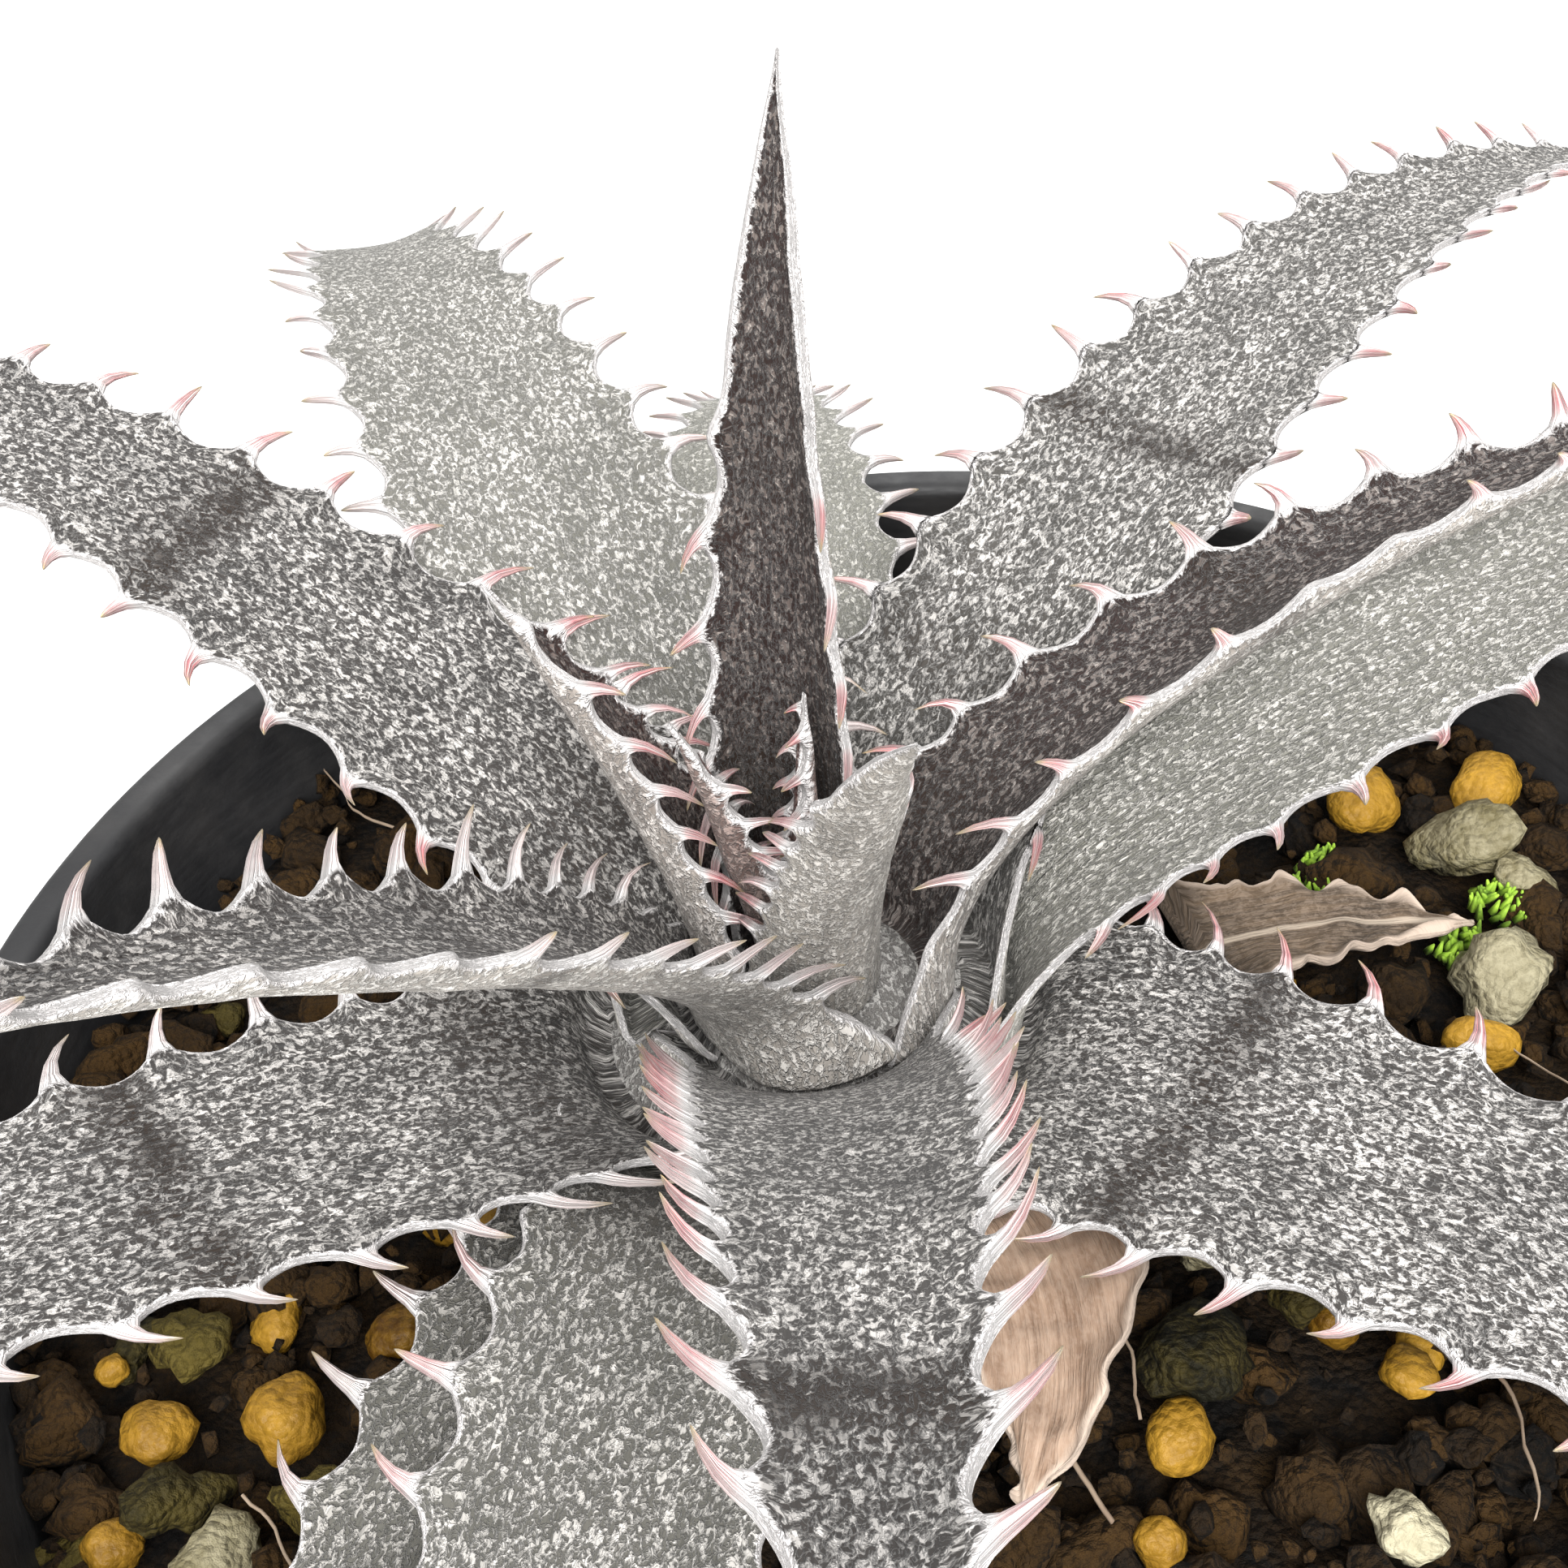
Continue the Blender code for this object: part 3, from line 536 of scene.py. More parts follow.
def make_plastic(dust):
    """Matt black moulded plastic with settled dust and fine scuffs."""
    made, tree, shader = new_material("black_pot_plastic", 0.5)
    place = put(tree, "ShaderNodeTexCoord").outputs["Object"]
    cloud = use_group(tree, dust, {"Place": place, "Scale": 60.0}).outputs["Dust"]
    skin = mix_colour(tree, math_of(tree, "MULTIPLY", cloud, 0.35), (0.012, 0.012, 0.013, 1),
                      (0.075, 0.07, 0.065, 1))
    tree.links.new(skin, shader.inputs["Base Color"])
    scuffs = noise_of(tree, stretched(tree, place, (1, 1, 6)), 260, 4, 0.7)
    tree.links.new(remap(tree, scuffs, 0.3, 0.7, 0.42, 0.68), shader.inputs["Roughness"])
    bump = put(tree, "ShaderNodeBump", {"Height": noise_of(tree, place, 1500, 3, 0.6),
                                        "Strength": 0.25, "Distance": 0.0001})
    tree.links.new(bump.outputs[0], shader.inputs["Normal"])
    return made


# Leaves

Station = namedtuple("Station", "centre along across up half_width half_angle")
Blade = namedtuple("Blade", "leaf bm course places quads paint")
Spine = namedtuple("Spine", "station side hook lift")


def leaf_course(leaf):
    """Stations along the midrib, from the upright sheath out along the arching blade."""
    heading = math.radians(leaf.heading)
    sheath = leaf.sheath * MM
    point = Vector((PLANT_X + sheath * math.sin(heading), PLANT_Y - sheath * math.cos(heading),
                    CROWN_HEIGHT - CROWN_SLOPE * sheath + DRY_LEAF_LIFTS.get(leaf.name, 0)))
    girth = max(leaf.sheath, TIGHTEST_CURL)
    sheath_half_width = max(min(SHEATH_CLASP * girth, SHEATH_BREADTH[0] * leaf.width + SHEATH_BREADTH[1]),
                            leaf.width / 2)
    wrap = min(sheath_half_width / girth, WIDEST_WRAP)
    course = []
    for step in range(COURSE_STEPS + 1):
        share = step / COURSE_STEPS
        reach = share * leaf.length
        sheathed = math.exp(-reach / leaf.rise_out)
        slope = math.radians(leaf.rise + (SHEATH_ANGLE - leaf.rise) * sheathed
                             - leaf.bend * share ** BEND_POWER)
        turn = math.radians(leaf.heading + leaf.sweep * share)
        level = Vector((math.sin(turn), -math.cos(turn), 0))
        along = level * math.cos(slope) + Vector((0, 0, math.sin(slope)))
        across = Vector((-math.cos(turn), -math.sin(turn), 0))
        if step:
            point = point + along * leaf.length * MM / COURSE_STEPS
        across = Matrix.Rotation(-math.radians(leaf.twist) * share, 3, along) @ across
        trough = math.exp(-reach / leaf.rise_out / SHEATH_SPREAD)
        blade_half_width = leaf.width / 2 * (1 - share ** TAPER_POWER)
        half_width = max(lerp(blade_half_width, sheath_half_width, trough ** SHEATH_NARROWING),
                         TIP_HALF_WIDTH)
        half_angle = wrap * trough + math.radians(leaf.cup) * (1 - trough)
        course.append(Station(point, along, across, across.cross(along), half_width, half_angle))
    return course


def station_at(course, share):
    """The station at a share of the leaf's length, between the two nearest ones."""
    place = min(max(share, 0), 1) * COURSE_STEPS
    index = min(int(place), COURSE_STEPS - 1)
    part = place - index
    return Station(*(lerp(low, high, part) for low, high in zip(course[index], course[index + 1])))


def blade_point(station, side, spread=0):
    """A point of the blade's middle surface and its normal; side runs from -1 to 1 across."""
    radius = station.half_width / station.half_angle * MM
    angle = station.half_angle * side
    normal = station.up * math.cos(angle) - station.across * math.sin(angle)
    outward = station.across * math.cos(angle) + station.up * math.sin(angle)
    offset = station.across * math.sin(angle) + station.up * (1 - math.cos(angle))
    return station.centre + offset * radius + outward * spread * side * MM, normal, outward


def blade_thickness(share, side, thickness):
    base, middle, tip = thickness
    if share < FLESHIEST:
        midrib = lerp(base, middle, math.sin(math.pi / 2 * share / FLESHIEST) ** 2)
    else:
        midrib = lerp(middle, tip, (share - FLESHIEST) / (1 - FLESHIEST))
    full = MARGIN_THICKNESS + (midrib - MARGIN_THICKNESS) * (1 - side * side)
    return full * lerp(1, TIP_THINNING, smooth((share - 0.8) / 0.2))


def opening(leaf, reach):
    """0 where the spines are crowded near the sheath, 1 where they stand well apart."""
    return smooth((reach - leaf.crowded) / OPENING_REACH)


def spine_pitch(leaf, reach):
    size = min(1, 0.35 + 0.65 * leaf.width / SPINE_FULL_SIZE_WIDTH)
    return size * lerp(PITCH_CROWDED, PITCH_OPEN, opening(leaf, reach))


def margin_rows(leaf):
    """Places of the cross rows along the leaf: an equal number for each spine and its gap."""
    reach = 0
    places = [0]
    while reach < leaf.length:
        reach += spine_pitch(leaf, reach) / ROWS_PER_SPINE
        places.append(min(reach, leaf.length))
    return places


def first_row(side):
    """The two margins' spines alternate."""
    return 0 if side > 0 else ROWS_PER_SPINE // 2


def scallop(row, side, pitch):
    """How far the margin stands out at a row: high at each spine, dipped in between."""
    phase = (row - 1 - first_row(side)) % ROWS_PER_SPINE
    away = min(phase, ROWS_PER_SPINE - phase) / (ROWS_PER_SPINE / 2)
    return pitch * (SCALLOP_RISE * (1 - away) ** 2 - SCALLOP_DIP * away)


def ring_sides():
    """Sides and faces round a section, from the middle of the underside and back to it."""
    under = [(side, -1) for side in ACROSS]
    upper = [(side, 1) for side in reversed(ACROSS)]
    upper_far = [(-side, 1) for side in ACROSS[1:]]
    under_far = [(-side, -1) for side in reversed(ACROSS)]
    return under + upper + upper_far + under_far


def margin_share(side):
    """0 over the middle of a leaf, rising to 1 at its margins."""
    return smooth((abs(side) - MARGIN_START) / MARGIN_SHARE)


def ripples(reach, side, wander, waves):
    """Height of a rippled surface at one place, in millimetres."""
    return sum(height * noise.noise(Vector((reach * along, side * across, wander)))
               for along, across, height in waves)


def band_strength(leaf, reach, side):
    """How dark the cross bands make a place: they start sharply and fade out along the leaf."""
    total = 0
    for place, width, strength in leaf.bands:
        beyond = reach - place - noise.noise(Vector((side * BAND_WAVES, place, 0))) * BAND_WANDER
        fade = width if beyond > 0 else width * BAND_ONSET
        total += strength * math.exp(-(beyond / fade) ** 2)
    return min(total, 1)


def grow_blade(leaf):
    """The skin of one living leaf, row by row along its midrib, still without spines."""
    course = leaf_course(leaf)
    places = margin_rows(leaf)
    wander = random.uniform(0, LEAF_APART)
    ring = ring_sides()
    last = LAST_SPINES.get(leaf.name, SCALLOP_LAST)
    bm = bmesh.new()
    paint = leaf_layers(bm)
    spots, quads = unrolled_grid(bm, len(ring) - 1, len(places) - 1)
    for vert, (column, row) in spots.items():
        side, face_sign = ring[column]
        reach = places[row]
        share = reach / leaf.length
        station = station_at(course, share)
        ease = smooth(reach / SCALLOP_ONSET) * (1 - smooth((share - last) / SCALLOP_FADE))
        spread = scallop(row, side, spine_pitch(leaf, reach)) * ease * margin_share(side)
        point, normal = blade_point(station, side, spread)[:2]
        free = smooth((reach - RIPPLE_START) / RIPPLE_ONSET)
        wave = ripples(reach, side, wander, LEAF_RIPPLES)
        half = blade_thickness(share, side, LEAF_THICKNESS) / 2
        if face_sign < 0:
            fullness, turned = SHEATH_FLESH.get(leaf.name, (0, 1))
            half += fullness * math.exp(-(reach / FLESH_REACH) ** 2) * smooth(side * turned * 3)
        vert.co = point + normal * (half * face_sign + wave * free) * MM
        vert[paint["grain"]] = Vector((side * station.half_width, reach + wander, face_sign * FACE_APART))
        vert[paint["edge"]] = (1 - abs(side)) * station.half_width
        # How dark each leaf's upper face is drawn: partly a barer skin, partly painted shade
        vert[paint["bare"]] = leaf.bare if face_sign > 0 else 0
        vert[paint["under"]] = 0 if face_sign > 0 else 1
        # Closeness to the leaf base: carries the painted shade of upper faces and the pale collar of under
        # faces
        vert[paint["base"]] = math.exp(-(reach / BASE_REACH) ** 2)
        vert[paint["green"]] = leaf.green
        vert[paint["red"]] = leaf.red
        vert[paint["band"]] = band_strength(leaf, reach, side)
    return Blade(leaf, bm, course, places, quads, paint)


def grow_spines(blade, others):
    """Spines along both margins, left out or shortened where another leaf is in their way."""
    leaf = blade.leaf
    size = min(1, leaf.width / SPINE_FULL_SIZE_WIDTH)
    last = LAST_SPINES.get(leaf.name, LAST_SPINE) * leaf.length
    ring = ring_sides()
    for side, column in ((1, len(ACROSS) - 1), (-1, len(ring) - 1 - len(ACROSS))):
        margin_size, share_kept = MARGIN_SPINES.get((leaf.name, side), (1, 1))
        for row in range(first_row(side), len(blade.places) - 3, ROWS_PER_SPINE):
            reach = blade.places[row + 1]
            apart = opening(leaf, reach)
            if not FIRST_SPINE < reach < last or random.random() > lerp(1, share_kept, apart):
                continue
            length = SPINE_LENGTH * (0.3 + 0.7 * size) * (1 - SPINE_TIP_LOSS * reach / leaf.length)
            length *= lerp(1, margin_size, apart) * random.uniform(*SPINE_VARIETY) * MM
            hook = lerp(HOOK_CROWDED, HOOK_OPEN, apart) + random.uniform(*HOOK_VARIETY)
            spine = Spine(station_at(blade.course, reach / leaf.length), side, hook,
                          random.uniform(*SPINE_LIFT))
            room = spine_room(spine, length, others)
            if room > LEAST_ROOM:
                blush = random.uniform(0.5, 1) * (PALE_BLUSH if leaf.name in PALE_SPINES else 1)
                raise_spine(blade, [blade.quads[column, row], blade.quads[column, row + 1]], spine,
                            length * room, blush)


def spine_offset(spine, length, reach):
    """Where a spine's centre line lies from its root, at a share of its length."""
    normal, outward = blade_point(spine.station, spine.side)[1:]
    return (outward * spine.side * length * (reach - 0.25 * spine.hook * reach ** 2)
            - spine.station.along * length * spine.hook * reach ** 2
            + normal * length * spine.lift * reach ** 1.5)


def spine_room(spine, length, others):
    """The share of a spine's length that is free of other leaves."""
    root = blade_point(spine.station, spine.side)[0]
    offset = spine_offset(spine, length, 1)
    hits = [tree.ray_cast(root, offset.normalized(), offset.length * 1.1)[3] for tree in others]
    free = min([hit for hit in hits if hit is not None], default=offset.length * 1.2)
    return min(1, free * SPINE_CLEARANCE / offset.length)


def unrolled_grid(bm, columns, rows):
    """Make a flat grid, to be rolled into a leaf, and note where each vertex and face is in it."""
    bmesh.ops.create_grid(bm, x_segments=columns, y_segments=rows, size=0.5)
    spots = {vert: (round((vert.co.x + 0.5) * columns), round((vert.co.y + 0.5) * rows))
             for vert in bm.verts}
    quads = {tuple(min(spots[vert][axis] for vert in face.verts) for axis in (0, 1)): face
             for face in bm.faces}
    return spots, quads


def leaf_layers(bm):
    """What the leaf materials read at each point of the skin."""
    paint = {name: bm.verts.layers.float.new(name)
             for name in ("bare", "green", "red", "band", "edge", "spine", "blush", "under", "base")}
    paint["grain"] = bm.verts.layers.float_vector.new("grain")
    return paint


def close_up(bm):
    bmesh.ops.remove_doubles(bm, verts=list(bm.verts), dist=0.00001)
    bmesh.ops.holes_fill(bm, edges=[edge for edge in bm.edges if edge.is_boundary], sides=0)


def raise_spine(blade, faces, spine, length, blush):
    """Draw a hooked spine out of two faces of the margin, in shrinking steps."""
    normal = blade_point(spine.station, spine.side)[1]
    along = spine.station.along
    base = {vert for face in faces for vert in face.verts}
    start = centre = sum((vert.co for vert in base), Vector()) / len(base)
    width_before = depth_before = 1
    for reach, width, depth in SPINE_STEPS:
        grown = bmesh.ops.extrude_face_region(blade.bm, geom=faces)["geom"]
        faces = [item for item in grown if isinstance(item, bmesh.types.BMFace)]
        target = start + spine_offset(spine, length, reach)
        for vert in (item for item in grown if isinstance(item, bmesh.types.BMVert)):
            offset = vert.co - centre
            vert.co = (target + along * offset.dot(along) * width / width_before
                       + normal * offset.dot(normal) * depth / depth_before)
            vert[blade.paint["spine"]] = reach
            vert[blade.paint["blush"]] = blush
            vert[blade.paint["edge"]] = 0
        centre = target
        width_before, depth_before = width, depth


def make_leaves(look):
    """Every blade is grown before the first spine, so that no spine runs through a leaf."""
    blades = [grow_blade(leaf) for leaf in LEAVES]
    trees = [BVHTree.FromBMesh(blade.bm) for blade in blades]
    for blade, own_tree in zip(blades, trees):
        grow_spines(blade, [tree for tree in trees if tree is not own_tree])
        close_up(blade.bm)
        name = blade.leaf.name
        finish_piece(name + "_skin", blade.bm, look, (name,), 1)


def make_dry_leaf(leaf, look):
    """A dead leaf: crumpled, with torn margins and no spines left."""
    course = leaf_course(leaf)
    wander = random.uniform(0, LEAF_APART)
    ring = ring_sides()
    bm = bmesh.new()
    paint = leaf_layers(bm)
    spots = unrolled_grid(bm, len(ring) - 1, DRY_ROWS)[0]
    for vert, (column, row) in spots.items():
        side, face_sign = ring[column]
        share = row / DRY_ROWS
        reach = share * leaf.length
        station = station_at(course, share)
        torn = ripples(reach, side, wander, DRY_TEARS) * margin_share(side)
        point, normal = blade_point(station, side, torn)[:2]
        wave = abs(ripples(reach, side, wander, DRY_RIPPLES)) * smooth(reach / DRY_RIPPLE_ONSET)
        half = blade_thickness(share, side, DRY_THICKNESS) / 2
        vert.co = point + normal * (half * face_sign + wave) * MM
        vert[paint["grain"]] = Vector((side * station.half_width, reach, face_sign * FACE_APART))
        vert[paint["edge"]] = (1 - abs(side)) * station.half_width
        vert[paint["green"]] = leaf.green
    close_up(bm)
    return finish_piece(leaf.name + "_skin", bm, look, (leaf.name,), 1)


# Stem, pot and soil

def turn_profile(profile, sides):
    """Spin a profile that starts and ends on the axis into a closed turned body."""
    bm = bmesh.new()
    corners = [bm.verts.new((radius, 0, height)) for radius, height in profile]
    for lower, upper in zip(corners, corners[1:]):
        bm.edges.new((lower, upper))
    bmesh.ops.spin(bm, geom=bm.verts[:] + bm.edges[:], angle=2 * math.pi, steps=sides,
                   axis=(0, 0, 1), cent=(0, 0, 0), use_merge=True)
    bmesh.ops.remove_doubles(bm, verts=list(bm.verts), dist=0.00001)
    return bm


def arc(centre, radius, start, end, steps):
    """Points on an arc of a profile, angles in degrees."""
    turns = (math.radians(lerp(start, end, step / steps)) for step in range(steps + 1))
    return [(centre[0] + radius * math.cos(turn), centre[1] + radius * math.sin(turn))
            for turn in turns]


def make_pot(plastic):
    """The pot, its rim band rounded over and the wall slightly waisted under it."""
    top = RIM_HEIGHT
    lip = top - LIP_ROUNDING
    band_radius = LIP_OUTER + LIP_ROUNDING - BAND_ROUNDING
    profile = [(0, POT_FLOOR), (FLOOR_RADIUS, POT_FLOOR), (WALL_RADIUS, top - BAND_DEPTH)]
    profile += arc((LIP_INNER, lip), LIP_ROUNDING, 180, 90, 6)
    profile += arc((LIP_OUTER, lip), LIP_ROUNDING, 90, 0, 6)
    profile += arc((band_radius, top - BAND_DEPTH + BAND_ROUNDING), BAND_ROUNDING, 0, -90, 4)
    profile += [(BAND_STEP + MM, top - BAND_DEPTH), (BAND_STEP, top - BAND_DEPTH - BAND_ROUNDING)]
    profile += arc((FOOT_RADIUS, FOOT_ROUNDING), FOOT_ROUNDING, -5, -90, 5)
    profile += [(0, 0)]
    shell = finish_piece("pot_shell", turn_profile(profile, POT_SIDES), plastic, ("pot",))
    cut_drain_holes(shell)


def cut_drain_holes(shell):
    """Take the ring of drain holes out of the pot's floor."""
    bm = bmesh.new()
    for number in range(DRAIN_HOLES):
        turn = 2 * math.pi * number / DRAIN_HOLES
        centre = Vector((math.cos(turn), math.sin(turn), 0)) * DRAIN_CIRCLE
        bmesh.ops.create_cone(bm, cap_ends=True, segments=32, radius1=DRAIN_RADIUS,
                              radius2=DRAIN_RADIUS, depth=12 * MM, matrix=Matrix.Translation(centre))
    mesh = bpy.data.meshes.new("drain_cutter")
    bm.to_mesh(mesh)
    bm.free()
    cutter = bpy.data.objects.new("drain_cutter", mesh)
    bpy.context.scene.collection.objects.link(cutter)
    holes = shell.modifiers.new("holes", "BOOLEAN")
    holes.object = cutter
    holes.operation = "DIFFERENCE"
    bpy.context.view_layer.update()
    cut = bpy.data.meshes.new_from_object(shell.evaluated_get(bpy.context.evaluated_depsgraph_get()))
    shell.modifiers.remove(holes)
    shell.data = cut
    cut.set_sharp_from_angle(angle=math.radians(SHARPEST_SMOOTH))
    bpy.data.objects.remove(cutter)


def make_stem(bark):
    top = CROWN_HEIGHT - CROWN_SUNK
    profile = [(0, top), (24.5 * MM, top - 7.35 * MM), (23.5 * MM, top - 8.15 * MM),
               (11.5 * MM, SOIL_TOP + 2.2 * MM), (10 * MM, SOIL_TOP + 0.2 * MM),
               (9 * MM, SOIL_TOP - 24 * MM), (6 * MM, SOIL_TOP - 27.7 * MM),
               (0, SOIL_TOP - 27.7 * MM)]
    bm = turn_profile(profile, 48)
    bmesh.ops.translate(bm, verts=bm.verts, vec=(PLANT_X, PLANT_Y, 0))
    return finish_piece("stem_bark", bm, bark, ("stem",))


def make_soil_bed(look):
    """The filling under the loose grains, lumpy on top."""
    top = SOIL_TOP - BED_DEPTH
    rings = [(radius * MM, top) for radius in range(0, 69, 3)]
    profile = rings + [(69 * MM, top - 0.5 * MM), (FOOT_RADIUS, BED_FLOOR), (0, BED_FLOOR)]
    bm = turn_profile(profile, 120)
    tone = bm.verts.layers.float.new("tone")
    for vert in bm.verts:
        vert[tone] = noise.noise(vert.co * 300) * 0.5 + 0.1
        if vert.co.z > top - 0.2 * MM:
            vert.co.z += noise.noise(vert.co * 220) * BED_LUMPS
    return finish_piece("soil_bed", bm, look, ("soil",))


def scatter(count, inner_gap):
    """Random places on the soil, clear of the stem's neck and of the marked grains."""
    spots = []
    while len(spots) < count:
        turn = random.uniform(0, 2 * math.pi)
        reach = SOIL_RADIUS * math.sqrt(random.random())
        spot = Vector((reach * math.cos(turn), reach * math.sin(turn), 0))
        clear = all((spot - Vector((grain.x, grain.y, 0)) * MM).length > grain.size * 0.62 * MM
                    for grain in MARKED_GRAINS)
        if clear and (spot - Vector((PLANT_X, PLANT_Y, 0))).length > inner_gap:
            spots.append(spot)
    return spots


def make_grains(sort, look):
    """Loose grains of one sort, each a lumpy rounded stone, joined in one piece."""
    bm = bmesh.new()
    tone = bm.verts.layers.float.new("tone")
    heap = [(spot + Vector((0, 0, SOIL_TOP + random.uniform(*sort.height) * MM)),
             random.uniform(*sort.size) / 2 * MM) for spot in scatter(sort.count, STEM_CLEARANCE)]
    heap += [(Vector((grain.x * MM, grain.y * MM, SOIL_TOP + MARKED_LIFT)), grain.size / 2 * MM)
             for grain in MARKED_GRAINS if grain.kind + "_grains" == sort.name]
    for place, radius in heap:
        limit = SOIL_RADIUS - radius * 1.05
        if place.xy.length > limit:
            place.xy = place.xy.normalized() * limit
        stretch = Matrix.Diagonal((random.uniform(0.9, 1.3), random.uniform(0.75, 1),
                                   random.uniform(*sort.flatness), 1))
        turn = Matrix.Rotation(random.uniform(0, math.pi * 2), 4, Vector(
            (random.uniform(-0.5, 0.5), random.uniform(-0.5, 0.5), 1)).normalized())
        grown = bmesh.ops.create_icosphere(bm, subdivisions=sort.detail, radius=radius)["verts"]
        shade = random.random()
        seed = Vector((random.uniform(0, 90), random.uniform(0, 90), random.uniform(0, 90)))
        for vert in grown:
            lump = 1 + sort.lumps * noise.noise(vert.co / radius * 1.1 + seed)
            lump += sort.lumps * 0.5 * noise.noise(vert.co / radius * 2.6 + seed)
            vert.co = place + (turn @ stretch @ (vert.co * lump))
            vert[tone] = shade
    return finish_piece(sort.name, bm, look)


def make_moss():
    """Small bright cushions of moss on the soil at the right, each a crowd of leafy tips."""
    made, tree, shader = new_material("moss_green", 0.8)
    place = put(tree, "ShaderNodeTexCoord").outputs["Object"]
    patches = noise_of(tree, place, 700, 3, 0.6)
    tone = mix_colour(tree, remap(tree, patches, 0.35, 0.65), (0.09, 0.17, 0.01, 1),
                      (0.32, 0.52, 0.04, 1))
    tree.links.new(tone, shader.inputs["Base Color"])
    bm = bmesh.new()
    for centre in MOSS_PLACES:
        for _ in range(MOSS_TIPS):
            turn, reach = random.uniform(0, 2 * math.pi), MOSS_SPREAD * math.sqrt(random.random())
            lean = Matrix.Rotation(random.uniform(-0.6, 0.6), 4, "X") @ Matrix.Rotation(
                random.uniform(-0.6, 0.6), 4, "Y")
            spot = Vector(centre) * MM + Vector((reach * math.cos(turn), reach * math.sin(turn),
                                                 SOIL_TOP + 0.6 * MM - reach * 0.4))
            bmesh.ops.create_cone(bm, cap_ends=True, segments=5, radius1=0.42 * MM, radius2=0.1 * MM,
                                  depth=1.5 * MM, matrix=Matrix.Translation(spot) @ lean)
    return finish_piece("moss_tufts", bm, made)


def make_rootlets():
    """Thin dead roots and leaf fibres that lie across the grains."""
    made, tree, shader = new_material("dead_root", 0.8)
    place = put(tree, "ShaderNodeTexCoord").outputs["Object"]
    tone = mix_colour(tree, noise_of(tree, place, 300), (0.10, 0.055, 0.03, 1), (0.42, 0.33, 0.24, 1))
    tree.links.new(tone, shader.inputs["Base Color"])
    bm = bmesh.new()
    for spot in scatter(ROOTLETS, ROOTLET_CLEARANCE):
        heading = random.uniform(0, 2 * math.pi)
        point = spot.normalized() * min(spot.length, 56 * MM)
        point.z = SOIL_TOP + 1.6 * MM
        radius = random.uniform(0.12, 0.28) * MM
        grown = bmesh.ops.create_circle(bm, cap_ends=True, segments=6, radius=radius)["verts"]
        turn = Vector((math.cos(heading), math.sin(heading), 0)).to_track_quat("Z", "Y").to_matrix()
        for vert in grown:
            vert.co = point + turn @ vert.co
        faces = list({face for vert in grown for face in vert.link_faces})
        for _ in range(ROOTLET_STEPS):
            heading += random.uniform(-0.3, 0.3)
            stride = Vector((math.cos(heading), math.sin(heading), random.uniform(-0.25, 0.2))) * 0.9 * MM
            extruded = bmesh.ops.extrude_face_region(bm, geom=faces)["geom"]
            bmesh.ops.translate(bm, vec=stride,
                                verts=[item for item in extruded if isinstance(item, bmesh.types.BMVert)])
            bmesh.ops.delete(bm, geom=faces, context="FACES_ONLY")
            faces = [item for item in extruded if isinstance(item, bmesh.types.BMFace)]
    return finish_piece("rootlets", bm, made)


def make_floor():
    bm = bmesh.new()
    bmesh.ops.create_grid(bm, x_segments=2, y_segments=2, size=FLOOR_SIZE)
    mesh = bpy.data.meshes.new("floor")
    bm.to_mesh(mesh)
    bm.free()
    made, _, shader = new_material("pale_floor", 0.9)
    shader.inputs["Base Color"].default_value = (0.86, 0.86, 0.85, 1)
    mesh.materials.append(made)
    floor = bpy.data.objects.new("floor", mesh)
    bpy.context.scene.collection.objects.link(floor)


def make_light(name, place, size, power):
    lamp = bpy.data.lights.new(name, "AREA")
    lamp.size = size
    lamp.energy = power
    holder = bpy.data.objects.new(name, lamp)
    holder.location = place
    towards = Vector((0, 0, RIM_HEIGHT)) - holder.location
    holder.rotation_euler = towards.to_track_quat("-Z", "Y").to_euler()
    bpy.context.scene.collection.objects.link(holder)


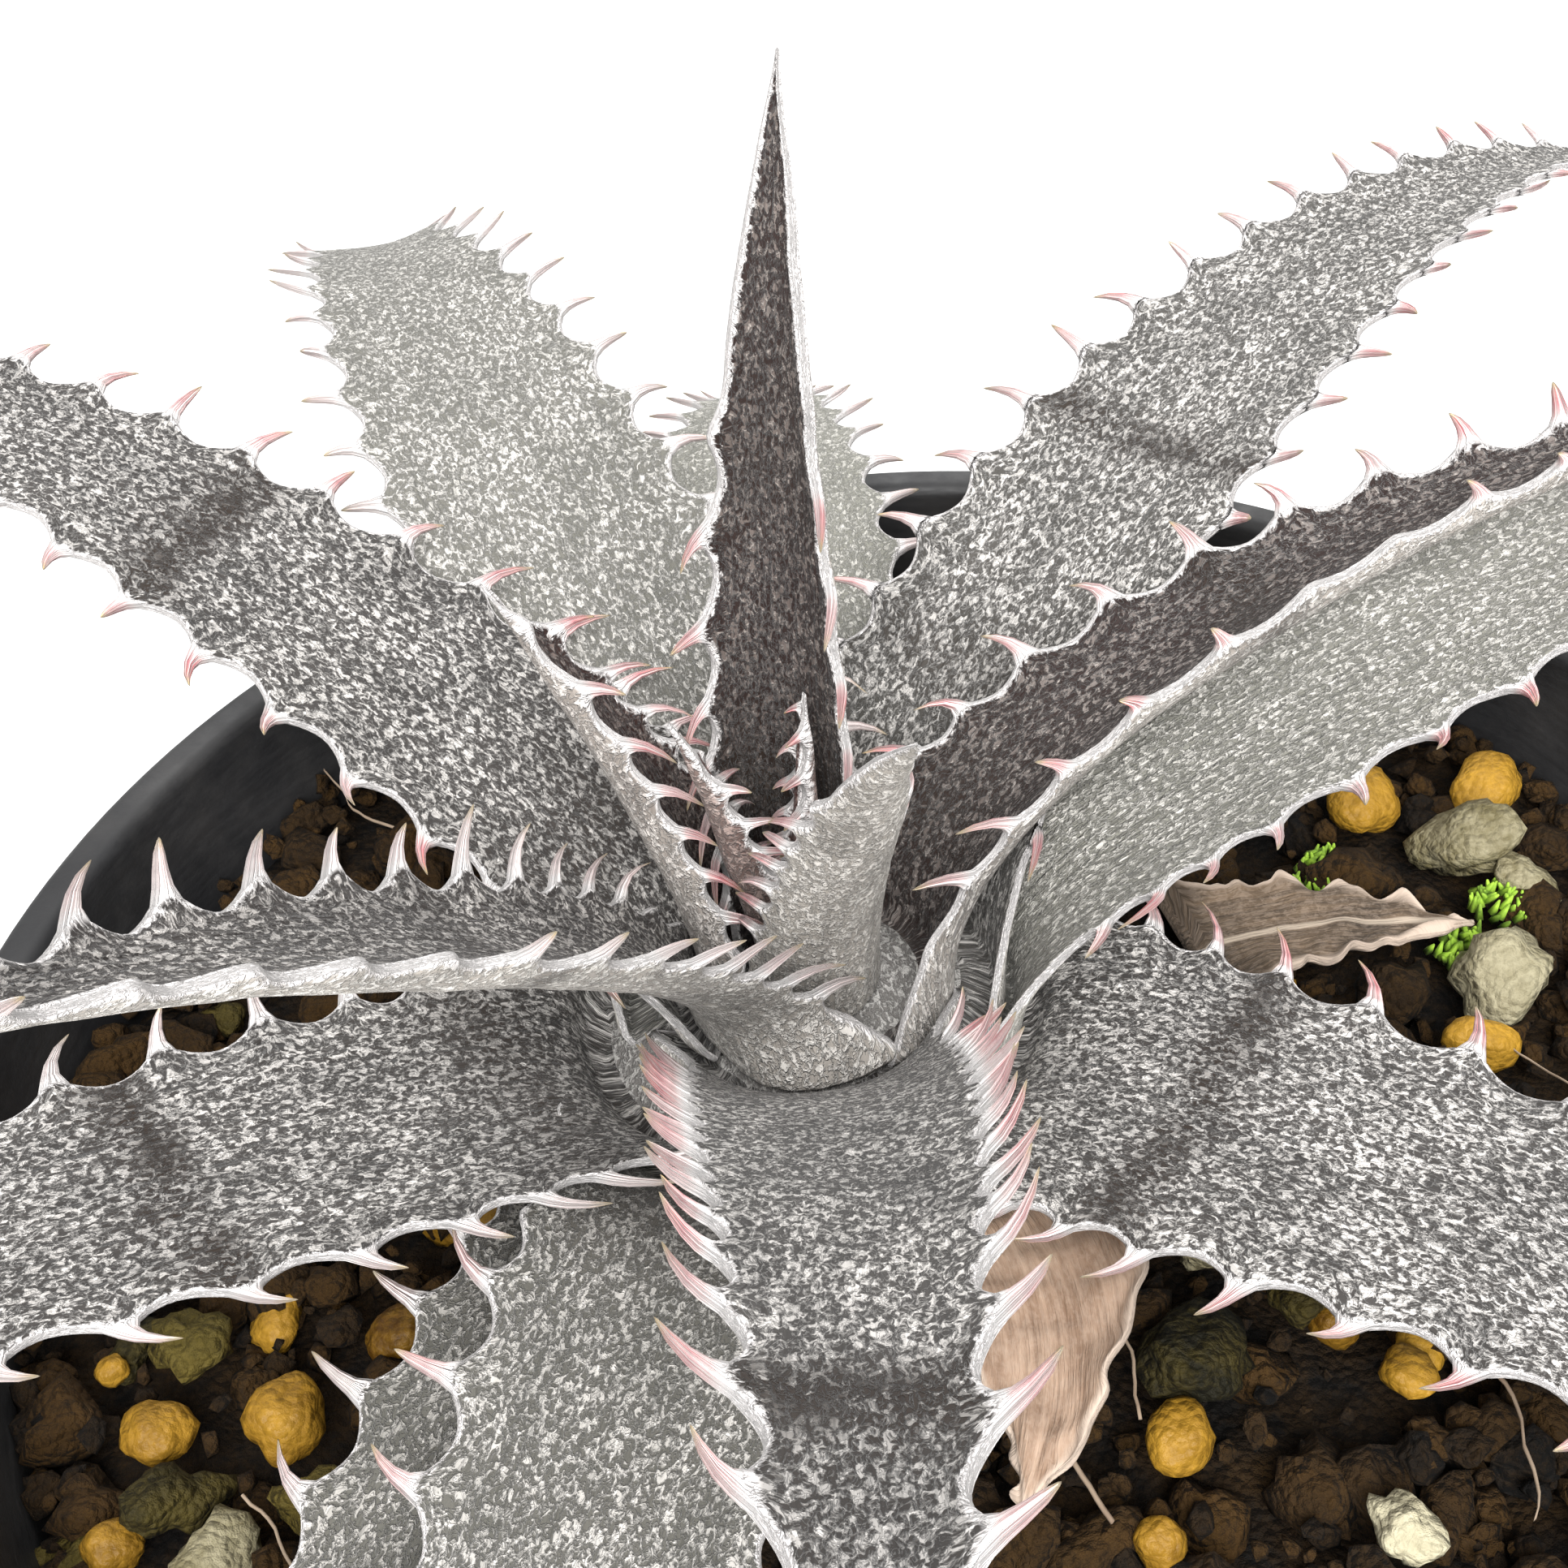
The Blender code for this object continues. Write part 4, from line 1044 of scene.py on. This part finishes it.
def make_studio():
    make_floor()
    for name, place, size, power in LIGHTS:
        make_light(name, place, size, power)
    world = bpy.data.worlds.new("studio")
    world.use_nodes = True
    world.node_tree.nodes["Background"].inputs[0].default_value = (1, 1, 1, 1)
    world.node_tree.nodes["Background"].inputs[1].default_value = SKY_STRENGTH
    bpy.context.scene.world = world
    bpy.context.scene.view_settings.view_transform = "Standard"


def make_camera():
    elevation = math.radians(CAMERA_ELEVATION)
    roll = math.radians(CAMERA_ROLL)
    forward = Vector((0, math.cos(elevation), -math.sin(elevation)))
    level_right = Vector((1, 0, 0))
    level_up = level_right.cross(forward)
    right = level_right * math.cos(roll) + level_up * math.sin(roll)
    up = level_up * math.cos(roll) - level_right * math.sin(roll)
    lens = bpy.data.cameras.new("camera")
    lens.angle = math.radians(CAMERA_ANGLE)
    lens.clip_start = 0.005
    camera = bpy.data.objects.new("camera", lens)
    stance = Matrix((right, up, -forward)).transposed().to_4x4()
    stance.translation = CAMERA_TARGET - forward * CAMERA_DISTANCE
    camera.matrix_world = stance
    bpy.context.scene.collection.objects.link(camera)
    bpy.context.scene.camera = camera


def main():
    make_camera()
    make_studio()
    scales = make_scale_grain()
    skin = make_leaf_skin(scales)
    make_leaves(skin)
    dry_skin = make_dry_skin(scales)
    for leaf in DRY_LEAVES:
        make_dry_leaf(leaf, dry_skin)
    looks = {
        "brown": make_grain_material("brown_clods", (0.0015, 0.0008, 0.0002, 1),
                                     (0.042, 0.020, 0.003, 1), 0.85, 1.0),
        "ochre": make_grain_material("ochre_pumice", (0.07, 0.03, 0.002, 1),
                                     (0.42, 0.23, 0.025, 1), 0.5, 0.4),
        "pale": make_grain_material("pale_pumice", (0.12, 0.10, 0.045, 1),
                                    (0.46, 0.42, 0.29, 1), 0.65, 0.6),
        "olive": make_grain_material("olive_clods", (0.006, 0.005, 0.0006, 1),
                                     (0.095, 0.07, 0.012, 1), 0.75, 0.8),
    }
    make_pot(make_plastic(make_settled_dust()))
    make_stem(make_crown_bark(scales))
    make_soil_bed(looks["brown"])
    for sort in SORTS:
        make_grains(sort, looks[sort.look])
    make_moss()
    make_rootlets()


main()
